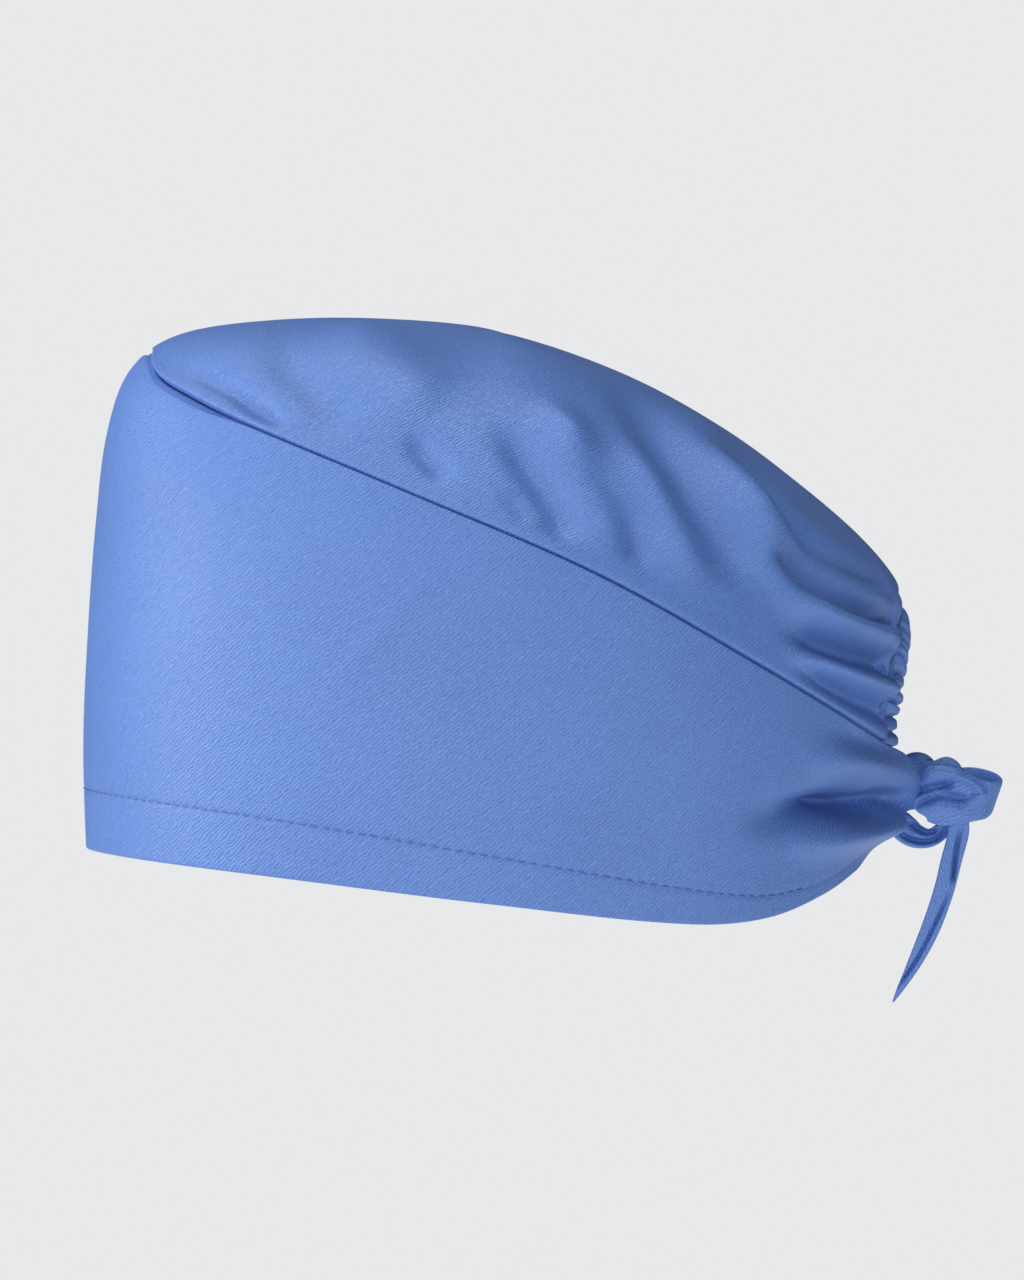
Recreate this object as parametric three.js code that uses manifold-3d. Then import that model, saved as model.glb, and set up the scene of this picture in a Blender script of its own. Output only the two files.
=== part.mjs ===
// A tie-back scrub cap in its worn shape: a deep side band wraps the forehead and temples, a domed crown is sewn to
// its sloping top edge, an elastic casing gathers the crown over the nape, and two cloth ties are knotted below it.
// Millimetres. The forehead faces -Y, the wearer's left is +X and +Z is up. The origin is the middle of the head
// opening, level with the front hem edge.
import * as THREE from "three";
import { mergeVertices } from "three/addons/utils/BufferGeometryUtils.js";
import Module from "manifold-3d";

// The worn form. Its height is the band's height at the forehead and the crown's rise above that.
const frontReach = 107.2;
const backReach = 107.2;
const halfWidth = 84;
const planFullness = 2.15;
const bandFrontHeight = 122;
const crownRise = 15.5;
const crownHeight = bandFrontHeight + crownRise;

// The cloth, and the gap left where two pieces are sewn together.
const clothThickness = 1.2;
const seamGap = 0.6;

// The side band: its peak over the forehead, its hem and its gathered rear ends.
const centrePeak = 7.5;
const centrePeakWidth = 27;
const napeDrop = 17;
const hemDepth = 15.6;
const hemFoldThickness = 1;
const bandEndHalfGap = 5;
const bandEndHeight = 8;
const bandEndTaper = 29;
const knotHeight = 14.8;
const knotPull = 6.3;
const knotPullWidth = 26;
const knotPullHeight = 13;

// The elastic casing round the arch over the nape.
const archHalfWidth = 32;
const archRise = 35.5;
const casingWidth = 10;
const casingThickness = 3;
const ruffleCount = 26;
const ruffleDepth = 0.7;
const gatherFade = 6;

// The ties and their knot.
const tieWidth = 15.6;
const tieThickness = 1.5;
const tieGap = 0.9;
const knotHalfWidth = 6.5;
const loopLength = 19.5;
const tailWidth = 5.4;
const tailDrop = 55;
const tailSweep = 17;

// How finely the surfaces are cut up.
const seamColumns = 24;
const archColumns = 12;
const bandEndColumns = 9;
const bandRows = 11;
const crownRows = 13;
const sectionsPerRuffle = 3;
const sectionsPerTieRow = 3;
const tieSides = 8;

// The form is a stack of rings. Each row gives how far out and up a ring lies at the front, the side and the back. Out
// is a share of the front reach, the half width or the back reach, and up is a share of the crown's height.
const rings = [
  { level: 0.0, frontOut: 0.99, frontUp: -0.07, sideOut: 0.94, sideUp: -0.16, backOut: 0.87, backUp: -0.24 },
  { level: 0.16, frontOut: 1.0, frontUp: 0.19, sideOut: 0.985, sideUp: 0.12, backOut: 0.955, backUp: 0.06 },
  { level: 0.31, frontOut: 0.988, frontUp: 0.42, sideOut: 1.0, sideUp: 0.31, backOut: 0.995, backUp: 0.25 },
  { level: 0.45, frontOut: 0.969, frontUp: 0.62, sideOut: 0.985, sideUp: 0.48, backOut: 1.0, backUp: 0.41 },
  { level: 0.58, frontOut: 0.942, frontUp: 0.785, sideOut: 0.93, sideUp: 0.635, backOut: 0.965, backUp: 0.5 },
  { level: 0.68, frontOut: 0.888, frontUp: 0.9, sideOut: 0.835, sideUp: 0.755, backOut: 0.885, backUp: 0.582 },
  { level: 0.77, frontOut: 0.775, frontUp: 0.966, sideOut: 0.69, sideUp: 0.85, backOut: 0.745, backUp: 0.678 },
  { level: 0.86, frontOut: 0.56, frontUp: 0.994, sideOut: 0.49, sideUp: 0.92, backOut: 0.545, backUp: 0.793 },
  { level: 0.94, frontOut: 0.29, frontUp: 0.998, sideOut: 0.25, sideUp: 0.962, backOut: 0.29, backUp: 0.9 },
  { level: 1.0, frontOut: 0, frontUp: 0.975, sideOut: 0, sideUp: 0.975, backOut: 0, backUp: 0.975 },
];
// How steeply the crown still falls towards the back where its front and back halves meet.
const apexSlope = 0.8;

// The seam's height along the cap, as a share of the band's front height. Along runs from -1 at the forehead to 1 at
// the nape, as in every table here.
const seamLine = [
  { along: -1.0, height: 1.035 },
  { along: -0.84, height: 1.0 },
  { along: -0.64, height: 0.909 },
  { along: -0.22, height: 0.75 },
  { along: 0.24, height: 0.574 },
  { along: 0.62, height: 0.388 },
  { along: 0.96, height: 0.212 },
];

// The hem edge's height as a share of the nape drop, and the depth of the turned-up hem as a share of the hem depth.
const hemLine = [
  { along: -1.0, height: 0, depth: 1 },
  { along: -0.5, height: -0.32, depth: 0.92 },
  { along: 0, height: -0.69, depth: 0.76 },
  { along: 0.46, height: -1.0, depth: 0.55 },
  { along: 0.64, height: -0.93, depth: 0.36 },
  { along: 0.78, height: -0.6, depth: 0.24 },
  { along: 0.9, height: -0.135, depth: 0.2 },
  { along: 1.0, height: 0.3, depth: 0.2 },
];

// Soft folds of the crown and dents of the band. Each runs from one point to another, and a point is its place along
// the cap and its height as a share of the crown's. Spread is a share of the half width, and left and right are the
// depths on the two sides, as shares of the front reach.
const folds = [
  { name: "front overhang", from: [-0.78, 0.875], to: [-0.6, 0.82], spread: 0.05, left: 0.017, right: 0.015 },
  { name: "front dimple", from: [-0.55, 0.83], to: [-0.49, 0.78], spread: 0.06, left: -0.014, right: -0.012 },
  { name: "seam pucker", from: [-0.23, 0.745], to: [-0.14, 0.68], spread: 0.05, left: -0.013, right: -0.009 },
  { name: "first valley", from: [-0.04, 0.76], to: [0.14, 0.6], spread: 0.08, left: -0.014, right: -0.01 },
  { name: "first ridge", from: [0.07, 0.79], to: [0.22, 0.6], spread: 0.08, left: 0.014, right: 0.012 },
  { name: "second valley", from: [0.2, 0.74], to: [0.32, 0.55], spread: 0.08, left: -0.011, right: -0.013 },
  { name: "second ridge", from: [0.28, 0.72], to: [0.45, 0.47], spread: 0.08, left: 0.012, right: 0.013 },
  { name: "third valley", from: [0.36, 0.76], to: [0.56, 0.48], spread: 0.08, left: -0.012, right: -0.01 },
  { name: "third ridge", from: [0.42, 0.8], to: [0.64, 0.47], spread: 0.08, left: 0.016, right: 0.014 },
  { name: "back shoulder", from: [0.46, 0.82], to: [0.92, 0.53], spread: 0.09, left: 0.01, right: 0.01 },
  { name: "top gather", from: [0.7, 0.55], to: [0.93, 0.44], spread: 0.07, left: -0.03, right: -0.026 },
  { name: "middle gather", from: [0.79, 0.41], to: [0.93, 0.34], spread: 0.05, left: -0.018, right: -0.02 },
  { name: "lower gather", from: [0.75, 0.35], to: [0.9, 0.27], spread: 0.05, left: -0.016, right: -0.014 },
  { name: "tie pocket", from: [0.78, 0.075], to: [0.98, 0.1], spread: 0.055, left: -0.042, right: -0.038 },
  { name: "pocket brow", from: [0.76, 0.15], to: [0.95, 0.14], spread: 0.045, left: 0.014, right: 0.016 },
  { name: "pocket lip", from: [0.8, 0.01], to: [0.94, 0.045], spread: 0.04, left: 0.014, right: 0.012 },
];

// The left tie's loop, from the band's end round the back of the knot and in again. Side is a share of the knot's half
// width, back of the loop's length, up and broad of the tie's width, and thick of its thickness.
const loopRows = [
  { side: 0.85, back: 0, up: 0, broad: 0.45, thick: 2 },
  { side: 0.87, back: 0.12, up: 0.01, broad: 0.62, thick: 1.6 },
  { side: 1.05, back: 0.36, up: -0.08, broad: 0.98, thick: 1 },
  { side: 0.95, back: 0.62, up: -0.1, broad: 1, thick: 1 },
  { side: 0.6, back: 0.9, up: -0.06, broad: 0.82, thick: 1 },
  { side: 0, back: 1.0, up: 0.02, broad: 0.72, thick: 1.1 },
  { side: -0.6, back: 0.88, up: 0.08, broad: 0.75, thick: 1 },
  { side: -0.95, back: 0.65, up: 0.05, broad: 0.85, thick: 1 },
  { side: -0.97, back: 0.42, up: 0, broad: 0.8, thick: 1 },
];

// The left tie's free tail. Drop is a share of the tail's drop and sweep of its sweep towards the front.
const tailRows = [
  { side: 0.88, drop: 0.1, sweep: 0, broad: 0.85, thick: 1 },
  { side: 0.76, drop: 0.19, sweep: 0.01, broad: 1, thick: 1.2 },
  { side: 0.7, drop: 0.26, sweep: 0.06, broad: 1, thick: 1.3 },
  { side: 0.62, drop: 0.33, sweep: 0.12, broad: 1, thick: 1.3 },
  { side: 0.5, drop: 0.45, sweep: 0.21, broad: 0.98, thick: 1.3 },
  { side: 0.4, drop: 0.56, sweep: 0.32, broad: 0.95, thick: 1.2 },
  { side: 0.32, drop: 0.66, sweep: 0.44, broad: 0.9, thick: 1.2 },
  { side: 0.26, drop: 0.757, sweep: 0.58, broad: 0.78, thick: 1.1 },
  { side: 0.22, drop: 0.85, sweep: 0.73, broad: 0.58, thick: 1 },
  { side: 0.2, drop: 0.945, sweep: 0.9, broad: 0.3, thick: 0.8 },
  { side: 0.2, drop: 1.0, sweep: 1.0, broad: 0.08, thick: 0.4 },
];

// The right tie, from its band's end over the top of the knot, down inside the loop and back under the band's ends.
const ringRows = [
  { side: -0.85, back: 0, up: 0.02, broad: 0.42, thick: 2 },
  { side: -0.86, back: 0.14, up: 0.04, broad: 0.36, thick: 1.8 },
  { side: -0.8, back: 0.22, up: 0.3, broad: 0.32, thick: 1.7 },
  { side: -0.5, back: 0.27, up: 0.5, broad: 0.34, thick: 1.7 },
  { side: -0.2, back: 0.41, up: 0.51, broad: 0.34, thick: 1.7 },
  { side: 0, back: 0.5, up: 0.28, broad: 0.34, thick: 1.7 },
  { side: 0, back: 0.49, up: -0.05, broad: 0.34, thick: 1.7 },
  { side: 0, back: 0.4, up: -0.38, broad: 0.36, thick: 1.7 },
  { side: 0, back: 0.27, up: -0.68, broad: 0.4, thick: 1.6 },
  { side: 0.1, back: 0.08, up: -0.83, broad: 0.42, thick: 1.6 },
  { side: 0.25, back: -0.14, up: -0.82, broad: 0.42, thick: 1.6 },
  { side: 0.42, back: -0.36, up: -0.68, broad: 0.4, thick: 1.5 },
  { side: 0.55, back: -0.5, up: -0.5, broad: 0.34, thick: 1.4 },
];

// The casing's cross-section: inset from its stitched edge to its free edge, and out as a share of its thickness.
const casingSection = [
  { inset: 0, out: 0.2 },
  { inset: 0.25, out: 0.5 },
  { inset: 0.75, out: 0.5 },
  { inset: 1, out: 0.15 },
  { inset: 1, out: -0.15 },
  { inset: 0.75, out: -0.5 },
  { inset: 0.25, out: -0.5 },
  { inset: 0, out: -0.2 },
];

const { clamp, lerp, smoothstep } = THREE.MathUtils;
const halfTurn = Math.PI;
const quarterTurn = halfTurn / 2;

// Evenly spaced values from one end to the other, both included.
const steps = (count, from, to) => Array.from({ length: count + 1 }, (_, i) => lerp(from, to, i / count));

// A smooth curve through a table's rows: the column's value where the key column has the given value. Its slope at
// the last row can be given.
function follow(rows, key, column, value, lastSlope) {
  const last = rows.length - 1;
  const slope = (i) => {
    if (i === last && lastSlope !== undefined) return lastSlope;
    const before = rows[Math.max(i - 1, 0)];
    const after = rows[Math.min(i + 1, last)];
    return (after[column] - before[column]) / (after[key] - before[key]);
  };
  let i = 0;
  while (i < last - 1 && value > rows[i + 1][key]) i += 1;
  const step = rows[i + 1][key] - rows[i][key];
  const t = clamp((value - rows[i][key]) / step, 0, 1);
  const rise = rows[i + 1][column] - rows[i][column];
  const start = slope(i) * step;
  const end = slope(i + 1) * step;
  return rows[i][column] + t * (start + t * (3 * rise - 2 * start - end + t * (start + end - 2 * rise)));
}

// How far along the cap a point lies, from -1 at the forehead to 1 at the nape.
const shareAlong = (y) => y / (y < 0 ? frontReach : backReach);

// A point of the plain form. The angle is 0 at the forehead, a quarter turn at the wearer's left and a half turn at
// the nape; the level is 0 below the hem and 1 at the middle of the crown.
function form(angle, level) {
  const atFront = Math.cos(angle) > 0;
  const outColumn = atFront ? "frontOut" : "backOut";
  const lengthways = (atFront ? frontReach : backReach) * follow(rings, "level", outColumn, level);
  const sideways = halfWidth * follow(rings, "level", "sideOut", level);
  const cos = Math.abs(Math.cos(angle));
  const sin = Math.abs(Math.sin(angle));
  const bulge = lengthways > 0 ? (cos / lengthways) ** planFullness + (sin / sideways) ** planFullness : Infinity;
  const radius = bulge ** (-1 / planFullness);
  const endUp = atFront
    ? follow(rings, "level", "frontUp", level, -apexSlope)
    : follow(rings, "level", "backUp", level, apexSlope);
  const sideUp = follow(rings, "level", "sideUp", level, 0);
  const height = crownHeight * lerp(sideUp, endUp, cos * cos);
  return new THREE.Vector3(radius * Math.sin(angle), -radius * Math.cos(angle), height);
}

// The outward normal of the plain form.
function formNormal(angle, level) {
  const step = 0.004;
  const below = Math.min(level, 1 - 2 * step);
  const round = form(angle + step, below).sub(form(angle - step, below));
  const rise = form(angle, below + step).sub(form(angle, below - step));
  return round.cross(rise).normalize();
}

// How much of the band's height is left at a point near its gathered ends: 0 at the end, 1 where the taper starts.
const endShare = (p, taper) => (p.y < 0 ? 1 : smoothstep(Math.abs(p.x), bandEndHalfGap, bandEndHalfGap + taper));

// Heights of the seam, the band's top edge, the hem edge and the hem's stitch line at a point of the form.
function seamHeight(p) {
  const peak = p.y < 0 ? centrePeak * Math.exp(-((p.x / centrePeakWidth) ** 4)) : 0;
  return bandFrontHeight * follow(seamLine, "along", "height", shareAlong(p.y)) + peak;
}
function bandTopHeight(p) {
  const taper = archHalfWidth - casingWidth - bandEndHalfGap;
  return lerp(knotHeight + bandEndHeight / 2, seamHeight(p), endShare(p, taper));
}
function hemHeight(p) {
  const edge = napeDrop * follow(hemLine, "along", "height", shareAlong(p.y));
  return lerp(knotHeight - bandEndHeight / 2, edge, endShare(p, bandEndTaper));
}
const stitchHeight = (p) => hemHeight(p) + hemDepth * follow(hemLine, "along", "depth", shareAlong(p.y));

// The first level, going up from the hem, at which the form rises through the given height.
function levelWhere(angle, heightAt) {
  const scan = 0.02;
  const halvings = 20;
  const above = (level) => {
    const p = form(angle, level);
    return p.z > heightAt(p);
  };
  let low = 0;
  while (low < 1 - scan && !above(low + scan)) low += scan;
  let high = low + scan;
  for (let i = 0; i < halvings; i += 1) {
    const middle = (low + high) / 2;
    if (above(middle)) high = middle;
    else low = middle;
  }
  return (low + high) / 2;
}

// The angle and level at which the back of the form stands at a given distance across and height.
function placeAtBack(x, z) {
  const rounds = 6;
  let aside = Math.asin(clamp(x / backReach, -1, 1));
  let level = 0;
  for (let i = 0; i < rounds; i += 1) {
    level = levelWhere(halfTurn - aside, () => z);
    const found = form(halfTurn - aside, level).x;
    if (Math.abs(found) > Number.EPSILON * backReach) aside *= x / found;
  }
  return { angle: halfTurn - aside, level };
}

// How far the folds lift a point of the cloth along its normal. They fade out at the middle line, where the two sides
// meet.
function foldLift(p) {
  const fadeFrom = 0.04 * halfWidth;
  const fadeTo = 0.22 * halfWidth;
  const roundEnd = 1.6;
  const place = new THREE.Vector2(p.y, p.z);
  const lift = folds.reduce((sum, fold) => {
    const [start, end] = [fold.from, fold.to].map(
      ([along, up]) => new THREE.Vector2(along * frontReach, up * crownHeight),
    );
    const run = end.sub(start);
    const away = place.clone().sub(start);
    const t = away.dot(run) / run.lengthSq();
    const spread = fold.spread * halfWidth;
    const across = away.cross(run) / run.length() / spread;
    const past = (Math.max(0, -t, t - 1) * run.length()) / (roundEnd * spread);
    const depth = (p.x < 0 ? fold.right : fold.left) * frontReach;
    return sum + depth * Math.exp(-(across ** 2) - past ** 2);
  }, 0);
  return lift * smoothstep(Math.abs(p.x), fadeFrom, fadeTo);
}

// How far the knot draws the cloth out behind the nape.
function knotLift(p) {
  if (p.y < 0) return 0;
  const across = Math.max(Math.abs(p.x) - bandEndHalfGap, 0) / knotPullWidth;
  const up = (p.z - knotHeight) / knotPullHeight;
  return knotPull * (1 - smoothstep(across, 0, 1)) * Math.exp(-(up ** 2));
}

// A point of the worn cloth, lifted off the plain form by the folds, the knot's pull and a given distance.
function clothPoint(angle, level, out) {
  const p = form(angle, level);
  return p.addScaledVector(formNormal(angle, level), foldLift(p) + knotLift(p) + out);
}

// The casing's stitch line and free edge as one family of arches. Turn is 0 at the wearer's left foot of the arch, a
// quarter turn at its top and a half turn at the right foot; inset runs from the stitch line towards the free edge.
const archFoot = placeAtBack(archHalfWidth, knotHeight + bandEndHeight);
const footHeight = bandTopHeight(form(archFoot.angle, archFoot.level));
function placeOnArch(turn, inset) {
  const x = (archHalfWidth - inset) * Math.cos(turn);
  const plain = placeAtBack(x, footHeight);
  const foot = bandTopHeight(form(plain.angle, plain.level)) + seamGap;
  return placeAtBack(x, lerp(foot, footHeight + archRise - inset, Math.sin(turn)));
}

// A mesh's geometry from its points and its faces, which name their points by number.
function geometryFrom(points, faces) {
  const geometry = new THREE.BufferGeometry();
  geometry.setAttribute("position", new THREE.Float32BufferAttribute(points.flatMap((p) => p.toArray()), 3));
  geometry.setIndex(faces.flat());
  return geometry.toNonIndexed();
}

// A closed wall from two like grids of points, one outside and one inside. Each column runs up from the bottom edge.
function wallFromGrids(outside, inside, closedRound) {
  const columns = outside.length;
  const rows = outside[0].length;
  const points = [];
  const number = (grid) => grid.map((column) => column.map((p) => points.push(p) - 1));
  const outer = number(outside);
  const inner = number(inside);
  if (closedRound) {
    [outer, inner].forEach((grid) => grid.forEach((column) => (column[rows - 1] = grid[0][rows - 1])));
  }
  const faces = [];
  const quad = (a, b, c, d) => faces.push([a, b, c], [a, c, d]);
  for (let i = 0; i < (closedRound ? columns : columns - 1); i += 1) {
    const next = (i + 1) % columns;
    for (let j = 0; j < rows - 1; j += 1) {
      quad(outer[i][j], outer[next][j], outer[next][j + 1], outer[i][j + 1]);
      quad(inner[i][j], inner[i][j + 1], inner[next][j + 1], inner[next][j]);
    }
    quad(inner[i][0], inner[next][0], outer[next][0], outer[i][0]);
    if (!closedRound) quad(outer[i][rows - 1], outer[next][rows - 1], inner[next][rows - 1], inner[i][rows - 1]);
  }
  for (let j = 0; j < (closedRound ? 0 : rows - 1); j += 1) {
    const last = columns - 1;
    quad(outer[0][j], outer[0][j + 1], inner[0][j + 1], inner[0][j]);
    quad(inner[last][j], inner[last][j + 1], outer[last][j + 1], outer[last][j]);
  }
  return geometryFrom(points, faces.filter(([a, b, c]) => a !== b && b !== c && c !== a));
}

// A closed solid from a row of like loops of points, capped at both ends.
function solidFromLoops(loops) {
  const around = loops[0].length;
  const last = (loops.length - 1) * around;
  const faces = [];
  for (let base = 0; base < last; base += around) {
    for (let j = 0; j < around; j += 1) {
      const a = base + j;
      const b = base + ((j + 1) % around);
      faces.push([a, b, b + around], [a, b + around, a + around]);
    }
  }
  for (let j = 1; j < around - 1; j += 1) {
    faces.push([0, j + 1, j], [last, last + j, last + j + 1]);
  }
  return geometryFrom(loops.flat(), faces);
}

// Where the seam meets the arch's foot, and where the band ends.
const footAngle = placeOnArch(0, 0).angle;
const bandEnd = placeAtBack(bandEndHalfGap, knotHeight);

function makeBand() {
  const hemTurnShare = 0.94;
  const toFoot = steps(seamColumns, 0, footAngle);
  const toEnd = steps(bandEndColumns, footAngle, bandEnd.angle).slice(1);
  const leftAngles = [...toFoot, ...toEnd];
  const rightAngles = leftAngles.slice(1).reverse();
  const angles = [...rightAngles.map((angle) => -angle), ...leftAngles];
  const levels = angles.map((angle) => {
    const bottom = levelWhere(angle, hemHeight);
    const stitch = levelWhere(angle, stitchHeight);
    const top = levelWhere(angle, (p) => bandTopHeight(p) - seamGap / 2);
    return [bottom, lerp(bottom, stitch, hemTurnShare), ...steps(bandRows - 1, stitch, top)];
  });
  const inward = (row) => clothThickness + (row < 2 ? hemFoldThickness : 0);
  const outside = angles.map((angle, i) => levels[i].map((level) => clothPoint(angle, level, 0)));
  const inside = angles.map((angle, i) => levels[i].map((level, row) => clothPoint(angle, level, -inward(row))));
  return wallFromGrids(outside, inside, false);
}

function makeCrown() {
  const seamShareOfTop = 0.82;
  const turnInBy = 0.8;
  const seamSide = steps(seamColumns, 0, footAngle).map((angle) => ({
    angle,
    level: levelWhere(angle, (p) => seamHeight(p) + seamGap / 2),
    topAngle: (angle / footAngle) * seamShareOfTop * halfTurn,
    ruffle: 0,
  }));
  const archSide = steps(archColumns, 0, quarterTurn).slice(1);
  const overArch = archSide.map((turn) => ({
    ...placeOnArch(turn, 0),
    topAngle: lerp(seamShareOfTop, 1, turn / quarterTurn) * halfTurn,
    ruffle: ruffleDepth * Math.cos(turn * ruffleCount),
  }));
  const left = [...seamSide, ...overArch];
  const right = left.slice(1, -1).reverse();
  const mirrored = right.map((c) => ({ ...c, angle: -c.angle, topAngle: -c.topAngle }));
  const stations = [...left, ...mirrored];
  const build = (depth) =>
    stations.map((station) =>
      steps(crownRows, 0, 1).map((share) => {
        const level = lerp(station.level, 1, share);
        const angle = lerp(station.angle, station.topAngle, smoothstep(share, 0, turnInBy));
        const gather = station.ruffle * Math.exp((-share * crownHeight) / gatherFade);
        return clothPoint(angle, level, gather - depth);
      }),
    );
  return wallFromGrids(build(0), build(clothThickness), true);
}

function makeCasing() {
  const middle = -clothThickness / 2;
  const loops = steps(ruffleCount * sectionsPerRuffle, 0, halfTurn).map((turn) => {
    const puff = Math.abs(Math.sin(turn * ruffleCount)) * ruffleDepth;
    return casingSection.map(({ inset, out }) => {
      const edge = inset === 1 ? puff : 0;
      const place = placeOnArch(turn, seamGap + inset * casingWidth + edge);
      return clothPoint(place.angle, place.level, middle + out * (casingThickness + puff));
    });
  });
  return solidFromLoops(loops);
}

// Where the ties leave the band, just behind its ends.
const knotStart = clothPoint(bandEnd.angle, bandEnd.level, 0).y + tieGap;

// A tie as a flat band swept through its sections. The faceUp function gives the way its width points at a place.
function sweepTie(sections, faceUp) {
  const last = sections.length - 1;
  const rows = sections.map((section, i) => ({ ...section, step: i / last }));
  const curve = new THREE.CatmullRomCurve3(sections.map((section) => section.centre));
  const loops = steps(last * sectionsPerTieRow, 0, 1).map((t) => {
    const centre = curve.getPoint(t);
    const tangent = curve.getTangent(t);
    const broadWay = faceUp(centre).projectOnPlane(tangent).normalize();
    const thickWay = tangent.clone().cross(broadWay);
    const broad = follow(rows, "step", "broad", t) / 2;
    const thick = follow(rows, "step", "thick", t) / 2;
    return Array.from({ length: tieSides }, (_, k) => {
      const angle = (2 * halfTurn * (k + 0.5)) / tieSides;
      const squared = (v) => Math.sign(v) * Math.sqrt(Math.abs(v));
      return centre
        .clone()
        .addScaledVector(broadWay, broad * squared(Math.cos(angle)))
        .addScaledVector(thickWay, thick * squared(Math.sin(angle)));
    });
  });
  return solidFromLoops(loops);
}

// The sections of a knotted stretch of tie, from a table of shares.
const knotSections = (rows) =>
  rows.map((row) => ({
    centre: new THREE.Vector3(
      row.side * knotHalfWidth,
      knotStart + row.back * loopLength,
      knotHeight + row.up * tieWidth,
    ),
    broad: row.broad * tieWidth,
    thick: row.thick * tieThickness,
  }));

const wasm = await Module();
wasm.setup();

// Joins two closed geometries into one.
function join(a, b) {
  const solids = [a, b].map((geometry) => {
    const bare = new THREE.BufferGeometry().setAttribute("position", geometry.getAttribute("position"));
    const merged = mergeVertices(bare);
    return new wasm.Manifold(
      new wasm.Mesh({
        numProp: 3,
        vertProperties: merged.getAttribute("position").array,
        triVerts: new Uint32Array(merged.getIndex().array),
      }),
    );
  });
  const mesh = solids[0].add(solids[1]).getMesh();
  const geometry = new THREE.BufferGeometry();
  geometry.setAttribute("position", new THREE.Float32BufferAttribute(mesh.vertProperties, 3));
  geometry.setIndex([...mesh.triVerts]);
  return geometry.toNonIndexed();
}

function makeLeftTie() {
  const tailRootBack = 0.49;
  const upright = () => new THREE.Vector3(0, 0, 1);
  const lengthways = () => new THREE.Vector3(0, 1, 0);
  const loop = sweepTie(knotSections(loopRows), upright);
  const tailSections = tailRows.map((row) => ({
    centre: new THREE.Vector3(
      row.side * knotHalfWidth,
      knotStart + tailRootBack * loopLength - row.sweep * tailSweep,
      knotHeight - row.drop * tailDrop,
    ),
    broad: row.broad * tailWidth,
    thick: row.thick * tieThickness,
  }));
  return join(loop, sweepTie(tailSections, lengthways));
}

function makeRightTie() {
  const middleBack = 0.12;
  const middleUp = -0.16;
  const ringMiddle = new THREE.Vector3(0, knotStart + middleBack * loopLength, knotHeight + middleUp * tieWidth);
  const outward = (p) => p.clone().sub(ringMiddle).setX(0);
  return sweepTie(knotSections(ringRows), outward);
}

const cloth = new THREE.MeshStandardMaterial({ name: "twill", color: 0x5f86cf, roughness: 0.85, metalness: 0 });

const cap = new THREE.Group();
cap.name = "scrub_cap";
function addPiece(name, geometry) {
  const mesh = new THREE.Mesh(geometry, cloth.clone());
  mesh.name = name;
  cap.add(mesh);
}
addPiece("side_band", makeBand());
addPiece("crown", makeCrown());
addPiece("elastic_casing", makeCasing());
addPiece("tie_left", makeLeftTie());
addPiece("tie_right", makeRightTie());

export default cap;
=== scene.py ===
"""A tie-back scrub cap in its worn form, dressed in blue twill on a pale studio floor."""

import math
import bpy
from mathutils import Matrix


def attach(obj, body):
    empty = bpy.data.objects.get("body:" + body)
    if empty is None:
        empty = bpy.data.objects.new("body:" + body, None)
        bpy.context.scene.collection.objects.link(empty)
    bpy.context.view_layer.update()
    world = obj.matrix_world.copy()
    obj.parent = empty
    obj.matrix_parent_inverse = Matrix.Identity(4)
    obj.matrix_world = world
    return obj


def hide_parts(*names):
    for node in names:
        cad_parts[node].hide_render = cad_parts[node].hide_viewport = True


bl_info = {
    "name": "Scrub Cap",
    "version": (1, 0, 0),
    "blender": (4, 5, 0),
    "location": "View3D > Sidebar > Scrub Cap",
    "description": "Makes a tie-back scrub cap of blue twill in its worn form",
    "category": "Object",
}

import bpy
import numpy as np
from bpy.props import FloatProperty, FloatVectorProperty, IntProperty, PointerProperty
from mathutils import Vector

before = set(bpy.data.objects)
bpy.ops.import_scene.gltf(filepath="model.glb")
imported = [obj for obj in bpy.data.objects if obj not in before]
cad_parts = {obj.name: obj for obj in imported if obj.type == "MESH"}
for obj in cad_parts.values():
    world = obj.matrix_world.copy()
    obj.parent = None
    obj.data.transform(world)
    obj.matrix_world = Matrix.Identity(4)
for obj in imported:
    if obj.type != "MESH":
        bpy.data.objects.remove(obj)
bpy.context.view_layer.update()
MM = 0.001
HALF_TURN = math.pi
QUARTER_TURN = math.pi / 2

# A point inside the head opening, from which faces are told to look outwards.
HEAD_MIDDLE = np.array([0.0, 0.0, 0.045])

# How the worn cloth is sampled: columns along each piece, and rows, sections or sides across it.
BAND_COLUMNS_TO_ARCH = 150
BAND_COLUMNS_TO_KNOT = 52
BAND_ROWS = 66
BAND_UV_ROW = 20
CROWN_SEAM_COLUMNS = 104
CROWN_ARCH_COLUMNS = 151
CROWN_ROWS = 70
CASING_SECTIONS_PER_RUFFLE = 16
CASING_SIDES = 33
LOOP_SAMPLES = (300, 140)
TAIL_SAMPLES = (200, 80)
RING_SAMPLES = (200, 96)
STITCH_LINE_SAMPLES = 4001

# Where a fold swells and fades, as shares of its path.
FOLD_START = (-0.06, 0.34)
FOLD_END = (0.78, 1.06)

# The crown's folds begin over this height above the seam, and fade where the cloth faces up or back. The
# band's fade towards the middle line, over shares of the half width.
CROWN_FOLD_RISE = 6 * MM
CROWN_FOLD_FACING = (0.1, 0.36)
BAND_FOLD_ASIDE = (0.04, 0.22)

# The seam allowances lie inside the cap, and the hem is turned up round a small radius. The hem's dip is
# the line that its stitches pull in.
ALLOWANCE = 8 * MM
ALLOWANCE_EDGE = 0.6 * MM
BAND_ALLOWANCE_OUT = -1.25 * MM
CROWN_ALLOWANCE_OUT = -1.75 * MM
HEM_RADIUS = 0.55 * MM
STITCH_DIP = 0.2 * MM

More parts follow.
